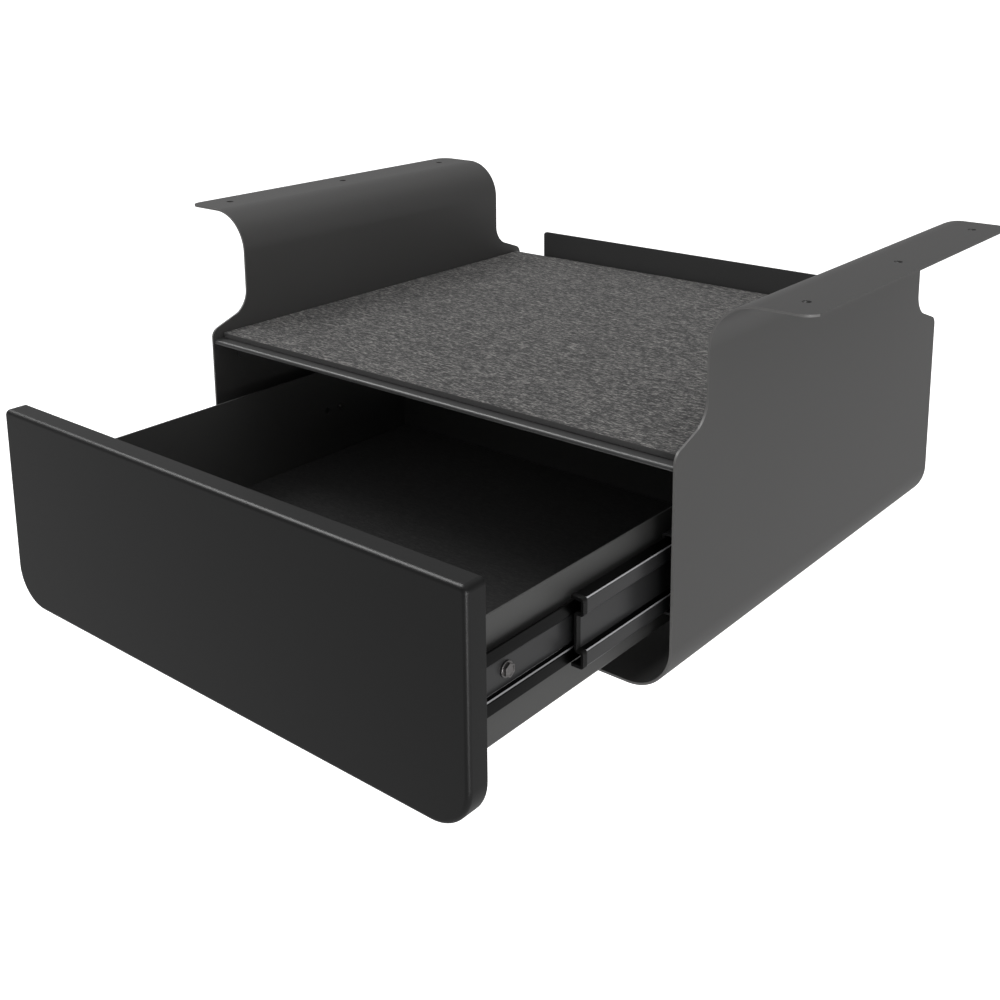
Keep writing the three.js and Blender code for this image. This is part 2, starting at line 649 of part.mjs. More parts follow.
function hexScrew(y) {
  const seat = INNER_WEB_OUTER + SEAT_GAP;
  const flangeTop = seat + HEX_FLANGE_HEIGHT;
  const tip = TRAY_HALF_WIDTH - TRAY_SHEET - HEX_SCREW_BITE;
  const middle = seat + HEX_FLANGE_HEIGHT / 2;
  const at = (x) => [x, y, SLIDE_Z];
  const flange = bar(HEX_FLANGE_RADIUS, at(seat), at(flangeTop));
  const head = bar(HEX_HEAD_RADIUS, at(middle), at(seat + HEX_HEAD_HEIGHT), 6);
  const shank = bar(HEX_SCREW_RADIUS, at(tip), at(middle));
  return geometryOf(join([flange, head, shank]));
}

// Balls in two rows, over and under the middle, held by a bent strip.
function ballCage(corners, thickness, front, ball) {
  const section = sheetShape(roundedPath(corners, TINY_CORNER_STEPS), thickness);
  const strip = alongY(section, front, front + CAGE_LENGTH);
  const pitch = CAGE_LENGTH / BALLS_PER_ROW;
  const balls = [-1, 1].flatMap((side) =>
    Array.from({ length: BALLS_PER_ROW }, (_, place) => {
      const sphere = new THREE.SphereGeometry(ball.radius, BALL_SEGMENTS, BALL_SEGMENTS - 2);
      return sphere.translate(ball.x, front + pitch * (place + 0.5), SLIDE_Z + side * ball.z);
    }),
  );
  return geometryOf(join([strip, ...balls]));
}

function outerCage() {
  const screwHeads = CABINET_WEB_OUTER - SLIDE_SHEET - SEAT_GAP - CABINET_SCREW_HEAD_HEIGHT;
  const webMiddle = screwHeads - SEAT_GAP - OUTER_CAGE_SHEET / 2;
  const armEnd = CABINET_LIP_INNER + SLIDE_SHEET + 2 * SEAT_GAP;
  const corners = [
    [armEnd, SLIDE_Z + OUTER_BALL_Z, 0],
    [webMiddle, SLIDE_Z + OUTER_BALL_Z, OUTER_CAGE_BEND],
    [webMiddle, SLIDE_Z - OUTER_BALL_Z, OUTER_CAGE_BEND],
    [armEnd, SLIDE_Z - OUTER_BALL_Z, 0],
  ];
  const front = SLIDE_FRONT + CAGE_CLOSED_SETBACK - REST_OPENING / 4;
  const ball = { radius: OUTER_BALL / 2, x: OUTER_BALL_X, z: OUTER_BALL_Z };
  return ballCage(corners, OUTER_CAGE_SHEET, front, ball);
}

function innerCage() {
  const webMiddle = (INNER_STRIP_OUTER + MIDDLE_WEB_INNER) / 2;
  const armZ = MIDDLE_STEP_Z + SEAT_GAP + INNER_CAGE_SHEET / 2;
  const tipZ = INNER_BALL_Z + INNER_BALL / 2;
  const half = [
    [webMiddle, armZ],
    [INNER_BALL_X, armZ],
    [INNER_BALL_X, tipZ],
  ];
  const corners = [
    ...half.map(([x, z]) => [x, SLIDE_Z - z, 0]).reverse(),
    ...half.map(([x, z]) => [x, SLIDE_Z + z, 0]),
  ];
  const front = SLIDE_FRONT + CAGE_CLOSED_SETBACK - (REST_OPENING * 3) / 4;
  const ball = { radius: INNER_BALL / 2, x: INNER_BALL_X, z: INNER_BALL_Z };
  return ballCage(corners, INNER_CAGE_SHEET, front, ball);
}

function rearStop() {
  const rear = SLIDE_FRONT + SLIDE_LENGTH;
  const front = rear - REAR_STOP_LENGTH;
  const outer = CABINET_WEB_OUTER - SLIDE_SHEET - SEAT_GAP;
  const inner = MIDDLE_WEB_INNER;
  const half = REAR_STOP_HEIGHT / 2;
  const outline = rectangle(inner, SLIDE_Z - half, outer, SLIDE_Z + half, REAR_STOP_CORNER);
  return alongY(roundedShape(outline, SMALL_BEND_STEPS), front, rear);
}

// ---------------------------------------------------------------- drawer
function frontBack() {
  return HOUSING_FRONT - REST_OPENING + FRONT_THICKNESS;
}

function frontScrewPlaces() {
  return [-1, 1].flatMap((side) =>
    FRONT_SCREW_DROPS.map((drop) => [(side * FRONT_SCREW_SPREAD) / 2, TRAY_TOP - drop]),
  );
}

function drawerFront() {
  const outline = roundedShape(
    [
      [-FRONT_HALF_WIDTH, FRONT_BOTTOM, FRONT_LOW_CORNER],
      [FRONT_HALF_WIDTH, FRONT_BOTTOM, FRONT_LOW_CORNER],
      [FRONT_HALF_WIDTH, FRONT_TOP, FRONT_TOP_CORNER],
      [-FRONT_HALF_WIDTH, FRONT_TOP, FRONT_TOP_CORNER],
    ],
    FRONT_CORNER_STEPS,
  );
  const face = frontBack() - FRONT_THICKNESS;
  const body = solidOf(alongY(outline, face + FRONT_EDGE_RADIUS, frontBack()));
  const edgeAt = (step) => {
    const angle = (step / FRONT_EDGE_STEPS) * (Math.PI / 2);
    return {
      y: face + FRONT_EDGE_RADIUS * (1 - Math.sin(angle)),
      inset: FRONT_EDGE_RADIUS * (1 - Math.cos(angle)),
    };
  };
  const layers = Array.from({ length: FRONT_EDGE_STEPS }, (_, step) =>
    taperedLayer(outline, edgeAt(step), edgeAt(step + 1)),
  );
  const panel = layers.map(solidOf).reduce((whole, layer) => whole.add(layer), body);
  const holes = frontScrewPlaces().map(([x, z]) => {
    const depth = frontBack() - FRONT_SCREW_DEPTH - SEAT_GAP;
    const radius = FRONT_SCREW_RADIUS + SCREW_CLEARANCE;
    return bar(radius, [x, depth, z], [x, frontBack() + OVERCUT, z]);
  });
  return geometryOf(cutAway(panel, holes));
}

// A slice of the front's rounded edge: the outline drawn in by one amount at one Y and by
// another at the next.
function taperedLayer(outline, back, front) {
  const points = outline.getPoints();
  const ring = ({ y, inset }) => insetOutline(points, inset).map((point) => [point.x, y, point.y]);
  const count = points.length;
  const positions = [...ring(back), ...ring(front)].flat();
  const index = [];
  for (let place = 0; place < count; place += 1) {
    const next = (place + 1) % count;
    index.push(place, next, count + next, place, count + next, count + place);
  }
  THREE.ShapeUtils.triangulateShape(points, []).forEach(([a, b, c]) => {
    index.push(a, c, b);
    index.push(count + a, count + b, count + c);
  });
  const geometry = new THREE.BufferGeometry();
  geometry.setAttribute("position", new THREE.Float32BufferAttribute(positions, 3));
  geometry.setIndex(index);
  return geometry;
}

function insetOutline(points, inset) {
  return points.map((point, place) => {
    const before = points[(place + points.length - 1) % points.length];
    const after = points[(place + 1) % points.length];
    const into = point.clone().sub(before).normalize();
    const out = after.clone().sub(point).normalize();
    const along = into.clone().add(out).normalize();
    const across = new THREE.Vector2(-along.y, along.x);
    return point.clone().addScaledVector(across, inset / Math.max(along.dot(out), 0.3));
  });
}

function trayFront() {
  return frontBack() + SEAT_GAP;
}

function drawerTray() {
  const half = TRAY_SHEET / 2;
  const side = TRAY_HALF_WIDTH - half;
  const path = roundedPath(
    [
      [-side, TRAY_TOP, 0],
      [-side, TRAY_BOTTOM + half, TRAY_BEND_RADIUS],
      [side, TRAY_BOTTOM + half, TRAY_BEND_RADIUS],
      [side, TRAY_TOP, 0],
    ],
    SMALL_BEND_STEPS,
  );
  const front = trayFront();
  const rear = front + TRAY_LENGTH;
  const trough = alongY(sheetShape(path, TRAY_SHEET), front, rear);
  const wallReach = TRAY_HALF_WIDTH - half;
  const wallLow = TRAY_BOTTOM + half;
  const frontWall = block([-wallReach, front, wallLow], [wallReach, front + TRAY_SHEET, TRAY_TOP]);
  const rearWall = block([-wallReach, rear - TRAY_SHEET, wallLow], [wallReach, rear, TRAY_TOP]);
  const frontHoles = frontScrewPlaces().map(([x, z]) => {
    const radius = FRONT_SCREW_RADIUS + SCREW_CLEARANCE;
    return bar(radius, [x, front - OVERCUT, z], [x, front + TRAY_SHEET + OVERCUT, z]);
  });
  const spareHole = innerFront() + TRAY_HOLE_SETBACK;
  const sideHoles = [-1, 1].flatMap((hand) => {
    const from = hand * (TRAY_HALF_WIDTH - TRAY_SHEET - OVERCUT);
    const to = hand * (TRAY_HALF_WIDTH + OVERCUT);
    const drilled = hexScrewPlaces().map((y) => [y, HEX_SCREW_RADIUS + SCREW_CLEARANCE]);
    drilled.push([spareHole, TRAY_HOLE_RADIUS]);
    return drilled.map(([y, radius]) => bar(radius, [from, y, SLIDE_Z], [to, y, SLIDE_Z]));
  });
  return geometryOf(cutAway(join([trough, frontWall, rearWall]), [...frontHoles, ...sideHoles]));
}

function frontScrew(x, z) {
  const seat = trayFront() + TRAY_SHEET + SEAT_GAP;
  const tip = frontBack() - FRONT_SCREW_DEPTH;
  const head = bar(FRONT_SCREW_HEAD_RADIUS, [x, seat, z], [x, seat + FRONT_SCREW_HEAD_HEIGHT, z]);
  const shank = bar(FRONT_SCREW_RADIUS, [x, tip, z], [x, seat + FRONT_SCREW_HEAD_HEIGHT / 2, z]);
  const top = seat + FRONT_SCREW_HEAD_HEIGHT;
  const low = top - FRONT_SCREW_SLOT_DEPTH;
  const long = FRONT_SCREW_SLOT_REACH;
  const wide = FRONT_SCREW_SLOT_WIDTH / 2;
  const slots = [
    block([x - long, low, z - wide], [x + long, top + OVERCUT, z + wide]),
    block([x - wide, low, z - long], [x + wide, top + OVERCUT, z + long]),
  ];
  return geometryOf(cutAway(join([head, shank]), slots));
}

function drawerLiner() {
  const edge = TRAY_SHEET + TRAY_BEND_RADIUS / 2 + FELT_EDGE_GAP;
  const half = TRAY_HALF_WIDTH - edge;
  const front = trayFront() + TRAY_SHEET + FELT_EDGE_GAP;
  const rear = trayFront() + TRAY_LENGTH - TRAY_SHEET - FELT_EDGE_GAP;
  const low = TRAY_BOTTOM + TRAY_SHEET + SEAT_GAP;
  const outline = rectangle(-half, front, half, rear, LINER_CORNER);
  return alongZ(roundedShape(outline, TINY_CORNER_STEPS), low, low + LINER_THICKNESS);
}

// ---------------------------------------------------------------- assembly
addPair("side_panel", sidePanel(), "panel");
addPiece("shelf_tray", shelfTray(), "shelf");
addPiece("shelf_felt_mat", shelfFeltMat(), "felt");

addPair("slide_cabinet_member", cabinetMember(), "slide");
cabinetScrewPlaces().forEach((y, place) => {
  addPair(`cabinet_member_screw_${place + 1}`, cabinetScrew(y), "screw");
});
addPair("slide_rear_stop", rearStop(), "bumper");
addPair("slide_middle_member", middleMember(), "slide");
addPair("slide_front_bumper", middleBumper(), "bumper");
addPair("outer_ball_cage", outerCage(), "cage");
addPair("inner_ball_cage", innerCage(), "cage");

addPiece("drawer_front", drawerFront(), "front");
addPiece("drawer_tray", drawerTray(), "tray");
addPiece("drawer_felt_liner", drawerLiner(), "liner");
addPair("slide_drawer_member", innerMember(), "slide");
hexScrewPlaces().forEach((y, place) => {
  addPair(`drawer_member_screw_${place + 1}`, hexScrew(y), "screw");
});
frontScrewPlaces().forEach(([x, z], place) => {
  addPiece(`drawer_front_screw_${place + 1}`, frontScrew(x, z), "screw");
});

export default drawerUnit;
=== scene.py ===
"""Under-desk drawer: the looks of a sheet-metal housing, felt-covered shelf and sliding drawer.

Each operator models one piece, or a group of like pieces, where the loaded frame says it is.
Lengths are metres, +Z up; the drawer slides out along -Y.
"""

import math

import bmesh
import bpy
from mathutils import Matrix, Vector


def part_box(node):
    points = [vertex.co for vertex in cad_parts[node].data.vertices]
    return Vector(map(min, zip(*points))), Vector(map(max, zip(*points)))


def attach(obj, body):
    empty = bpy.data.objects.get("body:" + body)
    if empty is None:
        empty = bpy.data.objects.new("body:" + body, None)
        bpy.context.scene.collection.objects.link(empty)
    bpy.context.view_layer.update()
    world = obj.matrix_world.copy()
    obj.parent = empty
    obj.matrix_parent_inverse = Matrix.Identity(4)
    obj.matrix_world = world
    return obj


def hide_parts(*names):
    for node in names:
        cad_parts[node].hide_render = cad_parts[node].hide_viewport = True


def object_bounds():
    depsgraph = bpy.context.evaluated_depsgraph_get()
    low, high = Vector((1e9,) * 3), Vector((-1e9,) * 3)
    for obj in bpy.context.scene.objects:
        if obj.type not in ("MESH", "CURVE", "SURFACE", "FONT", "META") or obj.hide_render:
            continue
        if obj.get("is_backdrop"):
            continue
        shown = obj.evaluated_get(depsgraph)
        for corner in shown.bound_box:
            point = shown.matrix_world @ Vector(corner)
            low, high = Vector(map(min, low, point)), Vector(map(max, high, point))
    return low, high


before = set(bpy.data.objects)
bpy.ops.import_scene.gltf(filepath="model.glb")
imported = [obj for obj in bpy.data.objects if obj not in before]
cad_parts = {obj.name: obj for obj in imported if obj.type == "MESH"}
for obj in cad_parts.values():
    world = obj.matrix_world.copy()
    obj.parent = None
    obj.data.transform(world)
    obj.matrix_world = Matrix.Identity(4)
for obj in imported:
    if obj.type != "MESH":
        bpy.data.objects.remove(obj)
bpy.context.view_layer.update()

bl_info = {
    "name": "Under-Desk Drawer",
    "version": (1, 0, 0),
    "blender": (4, 5, 0),
    "location": "View3D > Sidebar > Drawer",
    "description": "Models an under-desk drawer unit and its finishes",
    "category": "Object",
}

MM = 0.001
OVERCUT = 5 * MM
SIDES = {"right": 1, "left": -1}
BALLS_PER_ROW = 5
CATCH_ANGLE = math.radians(50)
SMOOTH_ANGLE = math.radians(32)
RIM_ANGLE = math.radians(69)
# Grey levels of the surroundings that light the object, from straight down to straight up.
SKY = (
    (0.0, (0.62, 0.62, 0.62)),
    (0.4, (0.66, 0.66, 0.66)),
    (0.52, (0.44, 0.44, 0.44)),
    (0.65, (0.36, 0.36, 0.36)),
    (0.85, (0.5, 0.5, 0.5)),
    (1.0, (0.56, 0.56, 0.56)),
)


# ------------------------------------------------------------------ properties
def length(name, description, default):
    return bpy.props.FloatProperty(
        name=name, description=description, default=default, min=0.0, unit="LENGTH", precision=5
    )


def angle(name, description, degrees):
    return bpy.props.FloatProperty(
        name=name, description=description, default=math.radians(degrees), unit="ROTATION"
    )


def colour(name, description, default):
    return bpy.props.FloatVectorProperty(
        name=name, description=description, default=default, subtype="COLOR", min=0.0, max=1.0
    )


class DrawerSizes(bpy.types.PropertyGroup):
    """Sizes that the frame's boxes don't give."""

    panel_sheet: length("Panel sheet", "Thickness of the side panels", 1.5 * MM)
    bend_radius: length("Bend radius", "Outside radius of the panels' two bends", 30 * MM)
    flange_reach: length("Flange reach", "Top flange, outward from the wall's outer face", 62 * MM)
    flange_corner: length("Flange corner", "Plan corner radius of the top flange", 10 * MM)
    curl_corner: length("Curl corner", "Plan corner radius of the return flange", 16 * MM)
    notch_inset: length("Notch inset", "How much shorter the upper part is at each end", 33.5 * MM)
    notch_rise: length("Notch rise", "Where the S curve starts, above the shelf", 31 * MM)
    notch_upper_radius: length("Notch upper radius", "S curve, hollow part", 17 * MM)
    notch_lower_radius: length("Notch lower radius", "S curve, round part", 7 * MM)
    notch_turn: angle("Notch turn", "Turn of each half of the S curve", 70)
    hole_inset: length("Hole inset", "Mounting hole from the flange's outer edge", 17.5 * MM)
    hole_pitch: length("Hole pitch", "Between the mounting holes", 120 * MM)
    hole_radius: length("Hole radius", "Mounting holes", 2.75 * MM)
    shelf_sheet: length("Shelf sheet", "Thickness of the shelf", 1.5 * MM)
    hem_depth: length("Hem depth", "Folded hem under the shelf's front edge", 11 * MM)
    hem_gap: length("Hem gap", "Between the two layers of the hem", 0.4 * MM)
    shelf_felt_corner: length("Felt corner", "Corner radius of the shelf felt", 1.5 * MM)
    shelf_flange: length("Shelf flange", "Height of the shelf's side flanges", 19 * MM)
    shelf_flange_setback: length("Flange setback", "Side flange from the shelf's ends", 20 * MM)
    upstand_end_gap: length("Upstand gap", "Between an upstand end and the wall", 30.5 * MM)
    upstand_height: length("Upstand height", "Above the shelf's upper face", 25.5 * MM)
    upstand_corner: length("Upstand corner", "Upper corner radius of the upstand", 3 * MM)
    edge_catch: length("Edge softness", "Softened sheet edges", 0.22 * MM)
    front_edge_radius: length("Front edge", "Rounded edge of the drawer front", 3 * MM)
    front_low_corner: length("Low corner", "Lower corner radius of the drawer front", 26 * MM)
    front_top_corner: length("Top corner", "Upper corner radius of the drawer front", 4 * MM)
    tray_sheet: length("Tray sheet", "Thickness of the drawer tray", 1.2 * MM)
    spare_hole_setback: length("Spare hole setback", "From the tray's front end", 244.7 * MM)
    spare_hole_radius: length("Spare hole radius", "Spare holes in the tray's walls", 2.5 * MM)
    screw_hole_radius: length("Screw hole radius", "Clearance holes of the screws", 2.35 * MM)
    screw_radius: length("Screw radius", "Threads of the screws", 2 * MM)
    liner_corner: length("Liner corner", "Corner radius of the drawer felt", 3 * MM)
    slide_sheet: length("Slide sheet", "Thickness of the slide members", 1.4 * MM)
    middle_strip: length("Middle strip", "Raised strips of the middle member", 8.7 * MM)
    middle_recess: length("Middle recess", "Web behind the strips", 4.4 * MM)
    inner_strip: length("Drawer strip", "Raised strips of the drawer member", 7 * MM)
    cabinet_lip: length("Lip", "Lips of the cabinet member", 3.3 * MM)
    bumper_sheet: length("Bumper sheet", "Thickness of the front bumper", 2.2 * MM)


class DrawerColours(bpy.types.PropertyGroup):
    """Base colours of the finishes."""

    panel: colour("Panel", "Powder coat of the side panels", (0.064, 0.063, 0.062))
    shelf: colour("Shelf", "Powder coat of the shelf", (0.066, 0.066, 0.066))
    tray: colour("Tray", "Powder coat of the drawer tray", (0.064, 0.064, 0.063))
    front: colour("Front", "Lacquer of the drawer front", (0.0050, 0.0050, 0.0051))
    felt_dark: colour("Felt dark", "Darkest fibres of the shelf felt", (0.014, 0.014, 0.0145))
    felt_light: colour("Felt light", "Lightest fibres of the shelf felt", (0.360, 0.349, 0.333))
    liner_dark: colour("Liner dark", "Darkest fibres of the drawer felt", (0.005, 0.005, 0.0053))
    liner_light: colour("Liner light", "Lightest fibres of the drawer felt", (0.034, 0.033, 0.032))
    slide: colour("Slide", "Dark plating of the slide members", (0.036, 0.036, 0.037))
    cage: colour("Cage", "Ball cages", (0.020, 0.020, 0.021))
    ball: colour("Ball", "Bearing balls", (0.55, 0.55, 0.56))
    bumper: colour("Bumper", "Moulded bumpers and stops", (0.003, 0.003, 0.003))
    screw: colour("Screw", "Black oxide on the screws", (0.14, 0.14, 0.145))
    floor: colour("Floor", "Studio floor", (0.86, 0.86, 0.86))


# ------------------------------------------------------------------ finishes
class Socket:
    """One output socket, so that shader maths reads as plain expressions."""

    def __init__(self, kit, output):
        self.kit = kit
        self.output = output

    def maths(self, operation, a, b):
        return self.kit.node("ShaderNodeMath", {"operation": operation}, {0: a, 1: b})

    def __add__(self, other):
        return self.maths("ADD", self, other)

    def __sub__(self, other):
        return self.maths("SUBTRACT", self, other)

    def __rsub__(self, other):
        return self.maths("SUBTRACT", other, self)

    def __mul__(self, other):
        return self.maths("MULTIPLY", self, other)

    __radd__ = __add__
    __rmul__ = __mul__


class Finish:
    """A material on one Principled shader, and the one method that adds any other node."""

    def __init__(self, name, **constants):
        self.material = bpy.data.materials.new(name)
        self.material.use_nodes = True
        self.tree = self.material.node_tree
        self.shader = self.tree.nodes["Principled BSDF"]
        for socket, value in constants.items():
            self.shader.inputs[socket.replace("_", " ")].default_value = value

    def node(self, kind, settings=None, values=None, output=0):
        made = self.tree.nodes.new(kind)
        for name, value in (settings or {}).items():
            if name == "stops":
                self.set_stops(made.color_ramp, value)
            else:
                setattr(made, name, value)
        for place, value in (values or {}).items():
            if isinstance(value, Socket):
                self.tree.links.new(value.output, made.inputs[place])
            else:
                made.inputs[place].default_value = value
        return Socket(self, made.outputs[output])

    @staticmethod
    def set_stops(ramp, stops):
        while len(ramp.elements) < len(stops):
            ramp.elements.new(1.0)
        for element, (position, shade) in zip(ramp.elements, stops):
            element.position = position
            element.color = (*shade, 1.0)

    def place(self, scale=(1.0, 1.0, 1.0), turn=(0.0, 0.0, 0.0)):
        coordinates = self.node("ShaderNodeTexCoord", output="Object")
        return self.node(
            "ShaderNodeMapping", None, {"Vector": coordinates, "Rotation": turn, "Scale": scale}
        )

    def noise(self, scale, detail=2.0, roughness=0.5, distortion=0.0, where=None):
        values = {
            "Vector": where or self.place(),
            "Scale": scale,
            "Detail": detail,
            "Roughness": roughness,
            "Distortion": distortion,
        }
        return self.node("ShaderNodeTexNoise", None, values)

    def ramp(self, factor, *stops):
        return self.node("ShaderNodeValToRGB", {"stops": stops}, {"Fac": factor})

    def mix(self, factor, a, b):
        values = {0: factor, 6: a, 7: b}
        return self.node("ShaderNodeMix", {"data_type": "RGBA"}, values, output=2)

    def marked(self, name):
        """1 on the faces that mark() picked under this name, and 0 on the rest."""
        return self.node("ShaderNodeAttribute", {"attribute_name": name}, output="Fac")

    def bump(self, height, distance, strength=1.0, under=None):
        values = {"Height": height, "Distance": distance, "Strength": strength}
        if under is not None:
            values["Normal"] = under
        return self.node("ShaderNodeBump", None, values)

    def set(self, **links):
        for socket, value in links.items():
            self.tree.links.new(value.output, self.shader.inputs[socket.replace("_", " ")])
        return self.material


def rgba(shade, factor=1.0):
    return (*(min(1.0, part * factor) for part in shade), 1.0)


def powder_coat(name, shade, roughness, grain):
    """Satin powder coat: a faint orange peel with a finer tooth, slightly uneven in tone, and a painted
    highlight on the marked edge faces.
    """
    coat = Finish(name, Metallic=0.0, Specular_IOR_Level=0.36)
    cloud = coat.noise(9.0, 3.0, 0.55)
    speck = coat.noise(2600.0, 2.0, 0.6)
    edge_highlight_mask = coat.marked("thin_coat")
    tone = coat.mix(cloud, rgba(shade, 0.94), rgba(shade, 1.05))
    tone = coat.mix(speck * 0.35, tone, rgba(shade, 1.35))
    # Painted highlight: the marked cut edges and hem nose are painted 2.6 times lighter than the coat.
    tone = coat.mix(edge_highlight_mask, tone, rgba(shade, 2.6))
    peel = coat.noise(420.0, 2.0, 0.5)
    tooth = coat.noise(1900.0, 2.0, 0.6)
    relief = coat.bump(peel * 0.5 + tooth * 0.5, 0.00007 * grain)
    return coat.set(
        Base_Color=tone,
        Roughness=roughness - 0.04 + speck * 0.08 + cloud * 0.04,
        Normal=relief,
    )


def lacquer(name, shade):
    """Matte lacquer on board: nearly flat, with very shallow waviness and fine dusting."""
    coat = Finish(name, Specular_IOR_Level=0.22, Coat_Roughness=0.28)
    cloud = coat.noise(6.0, 3.0, 0.5)
    dust = coat.noise(3200.0, 2.0, 0.6)
    tone = coat.mix(cloud, rgba(shade, 0.93), rgba(shade, 1.08))
    relief = coat.bump(coat.noise(95.0, 2.0, 0.5) * 0.6 + dust * 0.4, 0.00003)
    coat.shader.inputs["Coat Weight"].default_value = 0.03
    return coat.set(
        Base_Color=coat.mix(dust * 0.2, tone, rgba(shade, 1.5)),
        Roughness=0.36 + dust * 0.1,
        Normal=relief,
    )


def felt(name, dark, light, contrast, drawn_out):
    """Pressed heathered felt: short fibres of several greys, lying mostly one way."""
    cloth = Finish(name, Sheen_Weight=0.12, Sheen_Roughness=0.6, Specular_IOR_Level=0.15)
    long_way = cloth.place((1.0 / drawn_out, 1.0, 1.0), (0.0, 0.0, 0.12))
    cross_way = cloth.place((1.0, 1.0 / drawn_out, 1.0), (0.0, 0.0, -0.5))
    fibres = cloth.noise(900.0, 3.0, 0.7, 0.3, long_way)
    crossing = cloth.noise(1100.0, 2.0, 0.7, 0.4, cross_way)
    flecks = cloth.noise(520.0, 2.0, 0.6, 0.4, long_way)
    patches = cloth.noise(60.0, 3.0, 0.6)
    blend = fibres * 0.48 + crossing * 0.18 + flecks * 0.3 + patches * 0.04
    middle = tuple(math.sqrt(a * b) * 1.15 for a, b in zip(dark, light))
    tone = cloth.ramp(blend, (0.5 - contrast, dark), (0.5, middle), (0.5 + contrast, light))
    cut = cloth.marked("cut_edge")
    tone = cloth.mix(cut, tone, rgba(middle, 0.9))
    pile = cloth.bump(fibres * 0.6 + crossing * 0.4, 0.00025, 0.8)
    lumps = cloth.bump(flecks * 0.7 + patches * 0.3, 0.0002, 0.5, pile)
    return cloth.set(Base_Color=tone, Roughness=0.86 + crossing * 0.12, Normal=lumps)


def plating(name, shade, roughness):
    """Dark zinc plating on cold-rolled strip: fine lengthwise rolling lines under a faint sheen, with
    painted shade on the marked race bands and a painted highlight on the marked bends.
    """
    metal = Finish(name, Specular_IOR_Level=0.5)
    greased = metal.marked("greased")
    burnished = metal.marked("burnished")
    rolled = metal.noise(1500.0, 3.0, 0.6, 0.0, metal.place((1.0, 0.02, 1.0)))
    cloud = metal.noise(40.0, 3.0, 0.6)
    tone = metal.mix(rolled, rgba(shade, 0.82), rgba(shade, 1.2))
    tone = metal.mix(cloud * 0.5, tone, rgba(shade, 1.15))
    # Painted shade: the marked race bands and steps are painted at a tenth of the tone, and made more
    # metallic below, standing in for the shade and dark reflections in the grooves.
    tone = metal.mix(greased, tone, rgba(shade, 0.1))
    relief = metal.bump(rolled, 0.00002)
    return metal.set(
        # Painted highlight: the marked bends are painted sixteen times lighter.
        Base_Color=metal.mix(burnished, tone, rgba(shade, 16.0)),
        Metallic=0.35 + greased * 0.6,
        Roughness=roughness + rolled * 0.08 + cloud * 0.05,
        Normal=relief,
    )


def moulded(name, shade):
    """Moulded black plastic with a fine spark-eroded texture."""
    plastic = Finish(name, Specular_IOR_Level=0.2)
    grain = plastic.noise(2200.0, 2.0, 0.6)
    tone = plastic.mix(grain, rgba(shade, 0.8), rgba(shade, 1.3))
    return plastic.set(
        Base_Color=tone, Roughness=0.48 + grain * 0.1, Normal=plastic.bump(grain, 0.00006)
    )


def black_oxide(name, shade):
    """Oiled black oxide on steel, a little browner and brighter where it is worn."""
    metal = Finish(name, Metallic=0.9, Specular_IOR_Level=0.5)
    wear = metal.noise(700.0, 4.0, 0.65)
    tone = metal.mix(wear, rgba(shade, 0.7), rgba((shade[0] * 1.9, shade[1] * 1.8, shade[2] * 1.7)))
    return metal.set(
        Base_Color=tone, Roughness=0.24 + wear * 0.16, Normal=metal.bump(wear, 0.00003)
    )


def polished_balls(name, strip, ball):
    """Cage strip with bright balls: the two are told apart by a mesh attribute."""
    metal = Finish(name, Metallic=0.7, Specular_IOR_Level=0.5)
    is_ball = metal.marked("is_ball")
    grain = metal.noise(900.0, 3.0, 0.6)
    body = metal.mix(grain, rgba(strip, 0.8), rgba(strip, 1.4))
    return metal.set(
        Base_Color=metal.mix(is_ball, body, rgba(ball)),
        Roughness=0.42 + grain * 0.08 - is_ball * 0.3,
        Normal=metal.bump(grain, 0.00002),
    )


def studio_floor(name, shade):
    """Matt pale studio floor."""
    paint = Finish(name, Specular_IOR_Level=0.1)
    cloud = paint.noise(0.8, 2.0, 0.5)
    paint.shader.inputs["Emission Color"].default_value = (1.0, 1.0, 1.0, 1.0)
    paint.shader.inputs["Emission Strength"].default_value = 1.0
    return paint.set(
        Base_Color=paint.mix(cloud, rgba(shade, 0.995), rgba(shade, 1.005)),
        Roughness=0.9 + cloud * 0.05,
    )


FINISHES = {
    "panel": lambda c: powder_coat("Panel powder coat", c.panel, 0.46, 1.0),
    "shelf": lambda c: powder_coat("Shelf powder coat", c.shelf, 0.40, 0.8),
    "tray": lambda c: powder_coat("Tray powder coat", c.tray, 0.42, 0.9),
    "front": lambda c: lacquer("Front lacquer", c.front),
    "felt": lambda c: felt("Shelf felt", c.felt_dark, c.felt_light, 0.11, 3.2),
    "liner": lambda c: felt("Drawer felt", c.liner_dark, c.liner_light, 0.15, 3.0),
    "slide": lambda c: plating("Slide plating", c.slide, 0.26),
    "cage": lambda c: polished_balls("Ball cage", c.cage, c.ball),
    "bumper": lambda c: moulded("Moulded black", c.bumper),
    "screw": lambda c: black_oxide("Black oxide", c.screw),
    "floor": lambda c: studio_floor("Studio floor", c.floor),
}


def finish_named(kind):
    key = f"drawer {kind}"
    if key not in bpy.data.materials:
        material = FINISHES[kind](bpy.context.scene.drawer_colours)
        material.name = key
    return bpy.data.materials[key]


# ------------------------------------------------------------------ bench tools
def clear_bench():
    """Leaves edit mode and selects nothing."""
    if bpy.context.object and bpy.context.object.mode != "OBJECT":
        bpy.ops.object.mode_set(mode="OBJECT")
    bpy.ops.object.select_all(action="DESELECT")


def take(obj):
    """Makes obj the only selected and the active object."""
    clear_bench()
    obj.select_set(True)
    bpy.context.view_layer.objects.active = obj
    return obj


def edit(obj):
    take(obj)
    bpy.ops.object.mode_set(mode="EDIT")
    bpy.ops.mesh.select_mode(type="VERT")
    bpy.ops.mesh.select_all(action="DESELECT")


def leave_edit():
    bpy.ops.object.mode_set(mode="OBJECT")


def middle_of(element):
    if isinstance(element, bmesh.types.BMVert):
        return element.co.copy()
    points = [vertex.co for vertex in element.verts]
    return sum(points, Vector()) / len(points)


